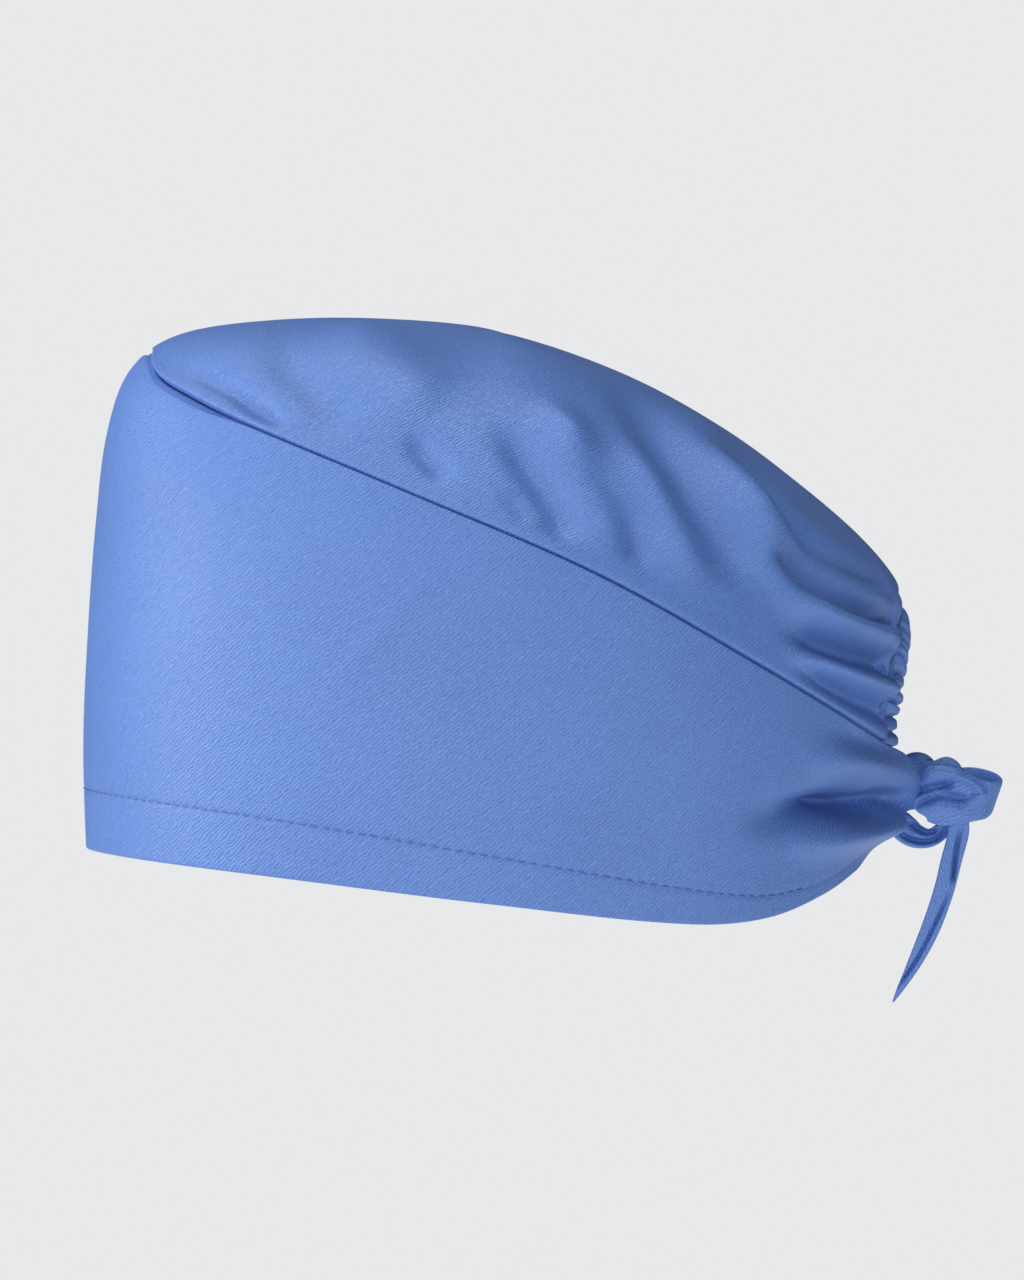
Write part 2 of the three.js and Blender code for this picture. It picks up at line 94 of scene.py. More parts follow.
# Distances from the seam, in millimetres, at which its rolled edge is sampled on the band and on the crown.
BAND_EDGE_DROPS = (0, 0.15, 0.3, 0.45, 0.6, 0.8, 1.0, 1.25, 1.6, 2.1, 3.0)
CROWN_EDGE_STEPS = (0, 0.12, 0.26, 0.45, 0.7, 1.0, 1.4, 2.0, 2.8, 3.8, 5.0)
CROWN_ALLOWANCE_DROPS = (8, 6, 4, 2, 0.6)
STITCH_RISES = (1.5, 0.9, 0.45, 0, -0.45, -0.9, -1.5)
STITCH_DIP_WIDTH = 0.6

# The crown runs from its edge to the middle of its top over a nominal reach. The seam takes this share of a
# half turn there, and the arch the rest.
CROWN_REACH = 0.12
SEAM_TOP_SHARE = 0.82

# How fast the form rises at the seam, in band heights a level.
BAND_HEIGHTS_PER_LEVEL = 1.30625

# The crown's weave runs along Y and round a cylinder that stands for its top.
CROWN_TURN_HEIGHT = 0.075
CROWN_TURN_RISE = 0.063
CROWN_TURN_RADIUS = 0.075

# The gathers along the arch: small puffs, broad swells and the dive to the casing, each with its size and
# reach.
PUFF = (1.6 * MM, 6 * MM)
SWELL = (1.5 * MM, 15 * MM)
DIVE = (3.2 * MM, 8 * MM)
RIDGE_FADE = (5 * MM, 24 * MM)
VALLEY_FADE = (1 * MM, 12 * MM)
VALLEY_LOSS = 0.85

# The casing lies behind the crown's edge, and its ruffles slant.
CASING_OUT = -2.3 * MM
CASING_INSET = 0.6 * MM
CASING_VALLEY_SHARE = 0.3
RUFFLE_SLANT = -2.0

# Where the tail starts and what the right tie's turn of cloth goes round, as shares of the loop and the
# tie.
TAIL_ROOT_BACK = 0.49
RING_MIDDLE_BACK = 0.12
RING_MIDDLE_UP = -0.16

# The topstitch ends where the hem's gathers begin, as a place along the cap.
STITCH_END = 0.74

# The weave. The ribs run by shares across and up the cloth. Each noise has its scales per metre, its detail
# and its roughness.
RIB_ACROSS = 0.62
RIB_UP = 0.79
RIB_WANDER = 0.0014
WEAVE_NOISES = {
    "wander": ((420, 420, 1), 2, 0.5),
    "fading": ((900, 900, 1), 1, 0.5),
    "warp": ((1900, 330, 1), 2, 0.6),
    "weft": ((330, 1900, 1), 2, 0.6),
    "grain": ((1300, 1300, 1), 2, 0.7),
    "cloud": ((28, 28, 1), 3, 0.55),
}
SHADE_RANGE = (0.62, 1.12)
RELIEF_DEPTH = 0.0003
SHINE = (0.85, 0.9, 1.0)

# The lights: how far each stands round from the wearer's left to the front and how far up, in degrees, and
# its power in watts.
LIGHTS = (
    ("key_light", 45, 5, 5.5),
    ("front_light", 90, 10, 11.0),
    ("brow_light", 80, 45, 7.0),
    ("cheek_light", 75, 0, 5.8),
    ("side_light", 15, 5, 8.0),
    ("top_light", 45, 80, 14.5),
    ("rear_light", -30, -8, 8.0),
)
LIGHT_SIZE = 0.9
LIGHT_TARGET = Vector((0, 0, 0.06))
FLOOR_RADIUS = 2.4
SENSOR_WIDTH = 36


def table(columns, *rows):
    """A short table with named columns, kept as one array a column."""
    return dict(zip(columns.split(), np.array(rows, dtype=float).T))


# The plain form is a stack of rings. Out is a share of the front reach, the half width or the back reach,
# and up is a share of the crown's height.
RINGS = table(
    "level front_out front_up side_out side_up back_out back_up",
    (0.0, 0.99, -0.07, 0.94, -0.16, 0.87, -0.24),
    (0.16, 1.0, 0.19, 0.985, 0.12, 0.955, 0.06),
    (0.31, 0.988, 0.42, 1.0, 0.31, 0.995, 0.25),
    (0.45, 0.969, 0.62, 0.985, 0.48, 1.0, 0.41),
    (0.58, 0.942, 0.785, 0.93, 0.635, 0.965, 0.5),
    (0.68, 0.888, 0.9, 0.835, 0.755, 0.885, 0.582),
    (0.77, 0.775, 0.966, 0.69, 0.85, 0.745, 0.678),
    (0.86, 0.56, 0.994, 0.49, 0.92, 0.545, 0.793),
    (0.94, 0.29, 0.998, 0.25, 0.962, 0.29, 0.9),
    (1.0, 0, 0.975, 0, 0.975, 0, 0.975),
)
APEX_SLOPE = 0.8

# Along runs from -1 at the forehead to 1 at the nape. The seam's height is a share of the band's front
# height.
SEAM_LINE = table(
    "along height",
    (-1.0, 1.035),
    (-0.84, 1.0),
    (-0.64, 0.909),
    (-0.22, 0.75),
    (0.24, 0.574),
    (0.62, 0.388),
    (0.96, 0.212),
)

# The hem edge's height is a share of the nape drop, and the turned-up hem's depth a share of the hem depth.
HEM_LINE = table(
    "along height depth",
    (-1.0, 0, 1),
    (-0.5, -0.32, 0.92),
    (0, -0.69, 0.76),
    (0.46, -1.0, 0.55),
    (0.64, -0.93, 0.36),
    (0.78, -0.6, 0.24),
    (0.9, -0.135, 0.2),
    (1.0, 0.3, 0.2),
)

# How the crown's cloth rolls into the seam: the groove's depth and width and the height of the lip above
# it, in millimetres. The lip stands proud at the front tuck.
SEAM_ROLL = table(
    "along depth width band_width lip",
    (-1.0, 2.2, 0.4, 0.6, 0.5),
    (-0.84, 3.2, 0.45, 0.9, 0.9),
    (-0.76, 4.2, 0.5, 1.15, 1.2),
    (-0.68, 3.8, 0.45, 1.0, 1.2),
    (-0.61, 2.0, 0.35, 0.5, 0.7),
    (-0.5, 1.5, 0.3, 0.36, 0.35),
    (0.5, 1.5, 0.3, 0.36, 0.3),
    (1.0, 1.5, 0.3, 0.36, 0.3),
)

# Folds of the crown and of the band. A fold runs through points along the cap and up it, and up is a share
# of the crown's height. Spread, left and right are millimetres: the fold's half width and its depth on each
# side.
CROWN_FOLDS = (
    ("lip roll", ((-0.78, 0.885), (-0.66, 0.835), (-0.57, 0.8)), 2.8, 0.8, 0.7),
    ("tuck shadow", ((-0.74, 0.88), (-0.64, 0.855), (-0.58, 0.825), (-0.5, 0.775)), 3.2, -1.6, -1.3),
    ("tuck dimple", ((-0.62, 0.84), (-0.56, 0.81), (-0.5, 0.775)), 3.4, -2.2, -1.7),
    ("front hollow", ((-0.56, 0.95), (-0.43, 0.86), (-0.34, 0.77)), 7.0, -2.2, -1.9),
    ("front swell", ((-0.4, 1.0), (-0.24, 0.9), (-0.14, 0.8)), 9.0, 2.2, 1.8),
    ("seam dent", ((-0.21, 0.76), (-0.155, 0.722), (-0.11, 0.68)), 3.0, -2.4, -1.9),
    ("small dent", ((0.02, 0.66), (0.05, 0.63), (0.08, 0.6)), 2.2, -1.2, -0.9),
    ("first valley", ((0.0, 0.79), (0.06, 0.73), (0.11, 0.67), (0.15, 0.61), (0.17, 0.56)), 4.2, -3.6, -2.9),
    ("first ridge", ((0.09, 0.83), (0.18, 0.76), (0.235, 0.68), (0.28, 0.61), (0.31, 0.55)), 4.2, 3.8, 3.1),
    ("second valley", ((0.18, 0.77), (0.222, 0.705), (0.27, 0.64), (0.315, 0.58), (0.36, 0.52)),
     4.0, -3.8, -3.2),
    ("second ridge", ((0.29, 0.77), (0.355, 0.69), (0.4, 0.62), (0.44, 0.555), (0.48, 0.5)), 3.8, 2.3, 2.0),
    ("third valley", ((0.27, 0.87), (0.38, 0.76), (0.465, 0.65), (0.53, 0.57), (0.59, 0.49)),
     4.8, -3.8, -3.3),
    ("third ridge", ((0.32, 0.92), (0.42, 0.84), (0.505, 0.755), (0.57, 0.665), (0.63, 0.58), (0.7, 0.46)),
     4.4, 5.0, 4.2),
    ("shoulder valley",
     ((0.34, 0.89), (0.51, 0.75), (0.614, 0.679), (0.69, 0.61), (0.8, 0.549), (0.95, 0.5), (1.1, 0.45)),
     2.6, -3.6, -3.1),
    ("panel hollow", ((0.44, 0.88), (0.62, 0.76), (0.74, 0.69), (0.86, 0.61), (1.0, 0.53)), 6.0, -2.2, -1.9),
    ("soft fold", ((0.52, 0.67), (0.64, 0.6), (0.74, 0.55)), 3.6, 1.8, 1.6),
    ("top gather", ((0.6, 0.57), (0.7, 0.53), (0.8, 0.48), (0.866, 0.455), (1.0, 0.42)), 3.6, -7.4, -6.0),
    ("upper gather ridge", ((0.66, 0.48), (0.7955, 0.436), (0.866, 0.42), (1.0, 0.38)), 3.4, 4.6, 3.8),
    ("middle gather", ((0.68, 0.41), (0.837, 0.366), (1.0, 0.335)), 3.0, -6.4, -5.3),
    ("lower gather ridge", ((0.68, 0.37), (0.814, 0.334), (0.98, 0.29)), 3.0, 4.2, 3.4),
    ("lower gather", ((0.7, 0.35), (0.83, 0.293), (0.98, 0.245)), 2.8, -5.0, -4.0),
)
BAND_FOLDS = (
    ("pocket core", ((0.78, 0.085), (0.87, 0.07), (0.94, 0.08)), 2.2, -5.0, -4.2),
    ("tie pocket", ((0.66, 0.078), (0.78, 0.084), (0.8865, 0.082), (0.93, 0.09), (1.1, 0.11)),
     2.8, -8.0, -6.8),
    ("pocket shadow", ((0.56, 0.06), (0.7, 0.075), (0.82, 0.1), (0.92, 0.115)), 4.4, -2.8, -2.4),
    ("pocket brow", ((0.7, 0.175), (0.9, 0.165), (1.1, 0.14)), 4.2, 2.4, 2.1),
    ("upper pleat", ((0.78, 0.23), (0.96, 0.17), (1.05, 0.13)), 3.0, -1.2, -1.4),
    ("pocket lip", ((0.68, 0.01), (0.86, 0.033), (1.05, 0.066)), 3.6, 3.6, 3.0),
    ("hem pleat", ((0.8, -0.06), (0.92, 0.01), (1.05, 0.06)), 2.4, -0.7, -0.6),
    ("faint crease", ((-0.42, 0.27), (-0.27, 0.4), (-0.12, 0.52)), 2.2, 0.3, 0.25),
    ("front easing", ((-0.9, 0.72), (-0.6, 0.6)), 9.0, 0.5, 0.4),
)

# The left tie's loop. Side is a share of the knot's half width, back of the loop's length, up and broad of
# the tie's width and thick of its thickness, and lean is how far the tie's upper edge leans back.
LOOP_ROWS = table(
    "side back up broad thick lean",
    (0.78, -0.14, -0.05, 0.34, 2, 0),
    (0.92, -0.05, -0.05, 0.66, 1.7, 0),
    (1.05, 0.08, -0.04, 0.92, 1.2, 0.05),
    (1.15, 0.29, -0.08, 1.0, 1, 0.05),
    (1.15, 0.49, -0.12, 0.9, 1, 0.05),
    (1.0, 0.7, -0.15, 0.72, 1, 0.15),
    (0.75, 0.87, -0.15, 0.62, 1, 0.3),
    (0.15, 0.98, -0.09, 0.58, 1, 0.36),
    (-0.5, 0.92, 0, 0.6, 1, 0.2),
    (-0.95, 0.73, 0.02, 0.7, 1, 0),
    (-1.0, 0.5, 0, 0.73, 1, 0),
    (-0.95, 0.27, 0, 0.7, 1, 0),
    (-0.9, 0.08, 0, 0.45, 1.4, 0),
)

# Creases of the loop's near side, through points back and up. Spread and depth are millimetres.
LOOP_CREASES = (
    ("upper bulge", ((-0.08, 0.12), (0.1, 0.28), (0.3, 0.3), (0.55, 0.2)), 2.4, 1.7),
    ("throat crease", ((-0.3, -0.12), (-0.05, 0.0), (0.12, 0.05), (0.42, 0.12)), 0.9, -3.6),
    ("lower crease", ((-0.14, -0.28), (0.08, -0.14), (0.26, -0.07), (0.6, -0.14)), 0.8, -2.8),
    ("lower bulge", ((-0.05, -0.32), (0.2, -0.27), (0.55, -0.34)), 2.2, 1.8),
    ("zigzag edge", ((0.3, 0.32), (0.62, 0.16), (0.78, -0.05), (0.62, -0.2), (0.45, -0.5)), 1.2, 1.5),
)
TAIL_CREASES = (
    ("tail slot", ((0.53, -0.57), (0.47, -0.83), (0.43, -1.2), (0.4, -1.57)), 0.5, -2.6),
    ("tail fold", ((0.4, -1.57), (0.23, -2.07), (0.0, -2.67), (-0.2, -3.07), (-0.36, -3.33)), 0.4, -2.0),
)
RING_CREASES = (
    ("lower loop crease",
     ((-0.36, -0.62), (-0.2, -0.78), (0.0, -0.85), (0.2, -0.8), (0.36, -0.6)),
     0.7, -3.0),
    ("lower loop hollow", ((-0.2, -0.5), (-0.06, -0.62), (0.08, -0.7), (0.26, -0.66)), 0.8, -3.0),
)

# The left tie's free tail. Drop is a share of the tail's drop and sweep of its sweep towards the front.
TAIL_ROWS = table(
    "side drop sweep broad thick",
    (0.88, 0.1, 0, 0.85, 1),
    (0.76, 0.19, 0.01, 1, 1.2),
    (0.7, 0.26, 0.06, 1, 1.3),
    (0.62, 0.33, 0.12, 1, 1.3),
    (0.5, 0.45, 0.21, 0.98, 1.3),
    (0.4, 0.56, 0.32, 0.95, 1.2),
    (0.32, 0.66, 0.44, 0.9, 1.2),
    (0.26, 0.757, 0.58, 0.78, 1.1),
    (0.22, 0.85, 0.73, 0.58, 1),
    (0.2, 0.945, 0.9, 0.3, 0.8),
    (0.2, 1.0, 1.0, 0.08, 0.4),
)

# The right tie, up over the band's end, over the top of the knot, down inside the loop and back under the
# band's end.
RING_ROWS = table(
    "side back up broad thick",
    (-0.8, -0.15, -0.08, 0.2, 2.5),
    (-0.95, -0.21, 0.16, 0.22, 3),
    (-1.0, -0.2, 0.33, 0.3, 3.4),
    (-0.85, -0.12, 0.41, 0.38, 3.6),
    (-0.6, -0.01, 0.41, 0.4, 3.6),
    (-0.4, 0.1, 0.33, 0.36, 3.6),
    (-0.25, 0.22, 0.36, 0.28, 3.4),
    (-0.15, 0.35, 0.45, 0.2, 3.2),
    (-0.05, 0.46, 0.35, 0.2, 3),
    (0, 0.49, 0.08, 0.22, 3),
    (0, 0.43, -0.3, 0.24, 3.4),
    (0, 0.31, -0.62, 0.27, 3.8),
    (0, 0.13, -0.79, 0.3, 4),
    (0, -0.06, -0.77, 0.4, 4),
    (0, -0.2, -0.66, 0.46, 3.8),
    (0, -0.3, -0.52, 0.42, 3.4),
    (0, -0.38, -0.4, 0.3, 3),
)


def length(name, description, default):
    """A size in metres that a user can change."""
    return FloatProperty(name=name, description=description, default=default, unit="LENGTH")


def fraction(name, description, default):
    """A value from 0 to 1 that a user can change."""
    return FloatProperty(name=name, description=description, default=default, min=0, max=1)


def colour(name, description, default):
    """A colour that a user can change."""
    return FloatVectorProperty(name=name, description=description, default=default, subtype="COLOR", size=3)


class CapShape(bpy.types.PropertyGroup):
    """The cap's worn sizes."""

    front_reach: length("Front Reach", "Middle of the head opening to the forehead", 0.1072)
    back_reach: length("Back Reach", "Middle of the head opening to the nape", 0.1072)
    half_width: length("Half Width", "Middle of the head opening to the temple", 0.084)
    plan_fullness: FloatProperty(
        name="Plan Fullness", description="How square the cap is from above; 2 is an ellipse", default=2.15
    )
    band_front_height: length("Band Height", "Height of the side band at the forehead", 0.122)
    crown_rise: length("Crown Rise", "Rise of the crown above the band's front", 0.0155)
    centre_peak: length("Centre Peak", "Rise of the band's top edge over the brow", 0.0075)
    centre_peak_width: length("Peak Width", "Half width of that rise", 0.027)
    nape_drop: length("Nape Drop", "How far the hem runs down towards the nape", 0.017)
    hem_depth: length("Hem Depth", "Depth of the turned-up hem at the forehead", 0.0156)
    band_end_half_gap: length("Band End Gap", "Middle line to each gathered band end", 0.005)
    band_end_height: length("Band End Height", "Height of a gathered band end", 0.008)
    band_end_taper: length("Band End Taper", "Length over which the hem rises to the knot", 0.029)
    knot_height: length("Knot Height", "Height of the knot above the hem", 0.0148)
    knot_pull: length("Knot Pull", "How far the knot draws the cloth back", 0.0063)
    knot_pull_width: length("Pull Width", "Reach of that pull across", 0.026)
    knot_pull_height: length("Pull Height", "Reach of that pull upwards", 0.013)
    arch_half_width: length("Arch Half Width", "Middle line to the arch's foot", 0.032)
    arch_rise: length("Arch Rise", "Height of the arch over the nape", 0.0355)


class CapTrim(bpy.types.PropertyGroup):
    """The casing, the ties and the stitching."""

    casing_width: length("Casing Width", "Width of the elastic casing", 0.01)
    casing_thickness: length("Casing Thickness", "Thickness of the filled casing", 0.003)
    ruffle_count: IntProperty(name="Ruffles", description="Ruffles along the casing", default=25)
    ruffle_depth: length("Ruffle Depth", "How far a ruffle stands out", 0.003)
    tie_width: length("Tie Width", "Flat width of a tie", 0.0156)
    tie_thickness: length("Tie Thickness", "Thickness of a folded tie", 0.0015)
    tie_gap: length("Tie Gap", "Space between the band's end and the knot", 0.0009)
    knot_half_width: length("Knot Half Width", "Middle line to the loop's side", 0.0065)
    loop_length: length("Loop Length", "How far the knot's loop stands back", 0.0195)
    tail_width: length("Tail Width", "Width of the free tail", 0.0054)
    tail_drop: length("Tail Drop", "Knot down to the tail's tip", 0.055)
    tail_sweep: length("Tail Sweep", "How far the tip swings forward", 0.017)
    stitch_pitch: length("Stitch Pitch", "Stitch to stitch", 0.0031)
    stitch_length: length("Stitch Length", "Length of one", 0.0022)
    thread_width: length("Thread Width", "Width of the thread", 0.0004)


class CapCloth(bpy.types.PropertyGroup):
    """The twill's make and colours."""

    thickness: length("Thickness", "Thickness of the cloth", 0.0004)
    thread_spacing: length("Thread Spacing", "Spacing of the twill's ribs", 0.00088)
    blue: colour("Blue", "Colour of the cloth", (0.128, 0.262, 0.67))
    deep_blue: colour("Deep Blue", "Colour between the threads", (0.08, 0.17, 0.48))
    # The topstitch is coloured darker than the cloth. This paints in the shade that falls along the stitch
    # dashes.
    thread_shade_blue: colour("Thread Blue", "Colour of the topstitch", (0.07, 0.15, 0.45))
    roughness: fraction("Roughness", "Roughness of the cloth", 0.5)
    sheen: fraction("Sheen", "Weight of the soft sheen", 0.02)


class CapStudio(bpy.types.PropertyGroup):
    """The floor, the lights and the camera."""

    backdrop: colour("Backdrop", "Colour of the floor and the wall", (0.80, 0.81, 0.825))
    floor_depth: length("Floor Depth", "Head opening down to the floor", 0.42)
    camera_distance: length("Camera Distance", "Camera to the cap's middle line", 1.6)
    view_height: length("View Height", "What the picture's height covers", 0.3328)
    aim_along: length("Aim Along", "Picture's middle along Y", 0.00403)
    aim_up: length("Aim Up", "Picture's middle along Z", 0.05382)
    light_distance: length("Light Distance", "Cap to each light", 1.8)
    sky_strength: FloatProperty(name="Sky Strength", description="Strength of the even light", default=0.08)


def smoothstep(value, low, high):
    """A soft step from 0 at low to 1 at high."""
    t = np.clip((value - low) / (high - low), 0, 1)
    return t * t * (3 - 2 * t)


def mix(a, b, share):
    """The value that share of the way from a to b."""
    return a + (b - a) * share


def follow(rows, key, column, value, last_slope=None):
    """A smooth curve through a table's rows: the column's value where the key column has the given value."""
    keys = rows[key]
    values = rows[column]
    rise = np.r_[values[1:], values[-1]] - np.r_[values[0], values[:-1]]
    run = np.r_[keys[1:], keys[-1]] - np.r_[keys[0], keys[:-1]]
    slopes = rise / run
    if last_slope is not None:
        slopes[-1] = last_slope
    i = np.clip(np.searchsorted(keys, value) - 1, 0, len(keys) - 2)
    step = keys[i + 1] - keys[i]
    t = np.clip((value - keys[i]) / step, 0, 1)
    lift = values[i + 1] - values[i]
    start = slopes[i] * step
    end = slopes[i + 1] * step
    return values[i] + t * (start + t * (3 * lift - 2 * start - end + t * (start + end - 2 * lift)))


def unit(vectors):
    """The vectors at length 1."""
    return vectors / np.maximum(np.linalg.norm(vectors, axis=-1, keepdims=True), 1e-12)


def follow_path(places, corners):
    """The distance of each place to a path through corners, and how far along it the nearest point lies."""
    nearest = np.full(places.shape[:-1], np.inf)
    share = np.zeros(places.shape[:-1])
    lengths = np.linalg.norm(np.diff(corners, axis=0), axis=-1)
    passed = 0.0
    for a, b, length in zip(corners[:-1], corners[1:], lengths):
        run = b - a
        t = np.clip(((places - a) @ run) / (run @ run), 0, 1)
        distance = np.linalg.norm(places - a - t[..., None] * run, axis=-1)
        share = np.where(distance < nearest, (passed + t * length) / lengths.sum(), share)
        nearest = np.minimum(nearest, distance)
        passed += length
    return nearest, share


def crease_shape(places, corners, spread):
    """A fold's share of its full depth: 1 along the middle of its path and less to its sides and ends."""
    rows = np.linspace(0, 1, len(corners))
    steps = np.linspace(0, 1, 4 * len(corners) - 3)
    columns = {"row": rows, "along": corners[:, 0], "up": corners[:, 1]}
    bend = np.stack([follow(columns, "row", name, steps) for name in ("along", "up")], axis=-1)
    nearest, share = follow_path(places, bend)
    ends = smoothstep(share, *FOLD_START) * (1 - smoothstep(share, *FOLD_END))
    return np.exp(-((nearest / spread) ** 2)) * ends


class WornForm:
    """The cloth's worn surface, worked out from the cap's sizes."""

    def __init__(self, shape, trim):
        self.shape = shape
        self.trim = trim
        self.crown_height = shape.band_front_height + shape.crown_rise
        foot = self.place_at_back(shape.arch_half_width, shape.knot_height + shape.band_end_height)
        self.foot_height = float(self.band_top(self.plain(*foot)))
        self.foot_angle = float(self.place_on_arch(np.array(0.0), np.array(0.0))[0])
        self.band_end = self.place_at_back(shape.band_end_half_gap, shape.knot_height)
        end_point = self.cloth(*self.band_end, 0.0, BAND_FOLDS)
        self.knot_start = float(end_point[1]) + trim.tie_gap

    def plain(self, angle, level):
        """Points of the plain form. The angle is 0 at the forehead, a quarter turn at the wearer's left and a
        half turn at the nape; the level is 0 below the hem and 1 at the middle of the crown."""
        shape = self.shape
        angle, level = np.broadcast_arrays(np.asarray(angle, float), np.asarray(level, float))
        at_front = np.cos(angle) > 0
        front_out = shape.front_reach * follow(RINGS, "level", "front_out", level)
        back_out = shape.back_reach * follow(RINGS, "level", "back_out", level)
        lengthways = np.maximum(np.where(at_front, front_out, back_out), 1e-9)
        sideways = np.maximum(shape.half_width * follow(RINGS, "level", "side_out", level), 1e-9)
        cos = np.abs(np.cos(angle))
        sin = np.abs(np.sin(angle))
        power = shape.plan_fullness
        radius = ((cos / lengthways) ** power + (sin / sideways) ** power) ** (-1 / power)
        end_up = np.where(
            at_front,
            follow(RINGS, "level", "front_up", level, -APEX_SLOPE),
            follow(RINGS, "level", "back_up", level, APEX_SLOPE),
        )
        side_up = follow(RINGS, "level", "side_up", level, 0.0)
        roundness = mix(2, 1, smoothstep(level, 0.88, 1))
        height = self.crown_height * mix(side_up, end_up, cos**roundness)
        return np.stack([radius * np.sin(angle), -radius * np.cos(angle), height], axis=-1)

    def normal(self, angle, level):
        """Outward normals of the plain form."""
        step = 0.004
        below = np.minimum(level, 1 - 2 * step)
        around = self.plain(angle + step, below) - self.plain(angle - step, below)
        rise = self.plain(angle, below + step) - self.plain(angle, below - step)
        return unit(np.cross(around, rise))

    def share_along(self, y):
        """How far along the cap, from -1 at the forehead to 1 at the nape."""
        return np.where(y < 0, y / self.shape.front_reach, y / self.shape.back_reach)

    def end_share(self, p, taper):
        """0 at a gathered band end and 1 where its taper starts."""
        gap = self.shape.band_end_half_gap
        return np.where(p[..., 1] < 0, 1.0, smoothstep(np.abs(p[..., 0]), gap, gap + taper))

    def seam(self, p):
        """Height of the seam at points of the form."""
        shape = self.shape
        rise = shape.centre_peak * np.exp(-((p[..., 0] / shape.centre_peak_width) ** 4))
        peak = np.where(p[..., 1] < 0, rise, 0)
        share = follow(SEAM_LINE, "along", "height", self.share_along(p[..., 1]))
        return shape.band_front_height * share + peak

    def band_top(self, p):
        """Height of the band's top edge."""
        shape = self.shape
        taper = shape.arch_half_width - self.trim.casing_width - shape.band_end_half_gap
        return mix(shape.knot_height + shape.band_end_height / 2, self.seam(p), self.end_share(p, taper))

    def hem(self, p):
        """Height of the hem edge."""
        shape = self.shape
        edge = shape.nape_drop * follow(HEM_LINE, "along", "height", self.share_along(p[..., 1]))
        end = shape.knot_height - shape.band_end_height / 2
        return mix(end, edge, self.end_share(p, shape.band_end_taper))

    def stitch(self, p):
        """Height of the hem's stitch line."""
        depth = follow(HEM_LINE, "along", "depth", self.share_along(p[..., 1]))
        return self.hem(p) + self.shape.hem_depth * depth

    def level_where(self, angle, height_at):
        """The first level, going up, at which the form rises through the given height."""
        angle = np.asarray(angle, float)
        scan = 0.02
        low = np.zeros(angle.shape)
        for _ in range(round(1 / scan) - 1):
            p = self.plain(angle, low + scan)
            low = np.where(p[..., 2] > height_at(p), low, low + scan)
        high = low + scan
        for _ in range(20):
            middle = (low + high) / 2
            p = self.plain(angle, middle)
            above = p[..., 2] > height_at(p)
            high = np.where(above, middle, high)
            low = np.where(above, low, middle)
        return (low + high) / 2

    def place_at_back(self, x, z):
        """The angle and level at which the back of the form stands at a distance across and a height."""
        x, z = np.broadcast_arrays(np.asarray(x, float), np.asarray(z, float))
        aside = np.arcsin(np.clip(x / self.shape.back_reach, -1, 1))
        for _ in range(6):
            level = self.level_where(HALF_TURN - aside, lambda p: z)
            found = self.plain(HALF_TURN - aside, level)[..., 0]
            aside = np.where(np.abs(found) > 1e-9, aside * x / np.where(found == 0, 1, found), aside)
        return HALF_TURN - aside, level

    def place_on_arch(self, turn, inset):
        """Where the casing lies: turn runs from the left foot of the arch to the right one, and inset from
        the stitch line towards the free edge."""
        turn, inset = np.broadcast_arrays(turn, inset)
        x = (self.shape.arch_half_width - inset) * np.cos(turn)
        foot = self.band_top(self.plain(*self.place_at_back(x, self.foot_height)))
        top = self.foot_height + self.shape.arch_rise - inset
        return self.place_at_back(x, mix(foot, top, np.sin(turn)))

    def fold_lift(self, p, folds):
        """How far folds lift points of the cloth along their normals."""
        scale = np.array([self.shape.front_reach, self.crown_height])
        place = p[..., 1:3]
        lift = np.zeros(p.shape[:-1])
        for _, path, spread, left, right in folds:
            depth = np.where(p[..., 0] < 0, right, left) * MM
            lift += depth * crease_shape(place, np.array(path) * scale, spread * MM)
        return lift

    def knot_lift(self, p):
        """How far the knot draws the cloth out behind the nape."""
        shape = self.shape
        across = np.maximum(np.abs(p[..., 0]) - shape.band_end_half_gap, 0) / shape.knot_pull_width
        up = (p[..., 2] - shape.knot_height) / shape.knot_pull_height
        pull = shape.knot_pull * (1 - smoothstep(across, 0, 1)) * np.exp(-(up**2))
        return np.where(p[..., 1] < 0, 0, pull)

    def cloth(self, angle, level, out, folds, ridge_share=1.0, valley_share=1.0):
        """Points of the worn cloth, lifted off the plain form by folds, the knot's pull and a distance."""
        p = self.plain(angle, level)
        way = self.normal(angle, level)
        lift = self.fold_lift(p, folds)
        if folds is CROWN_FOLDS:
            lift *= smoothstep(p[..., 2] - self.seam(p), 0, CROWN_FOLD_RISE)
            lift *= smoothstep(np.abs(way[..., 0]), *CROWN_FOLD_FACING)
        else:
            lift *= smoothstep(np.abs(p[..., 0]) / self.shape.half_width, *BAND_FOLD_ASIDE)
        lift = lift * np.where(lift > 0, ridge_share, valley_share) + self.knot_lift(p) + out
        return p + way * lift[..., None]


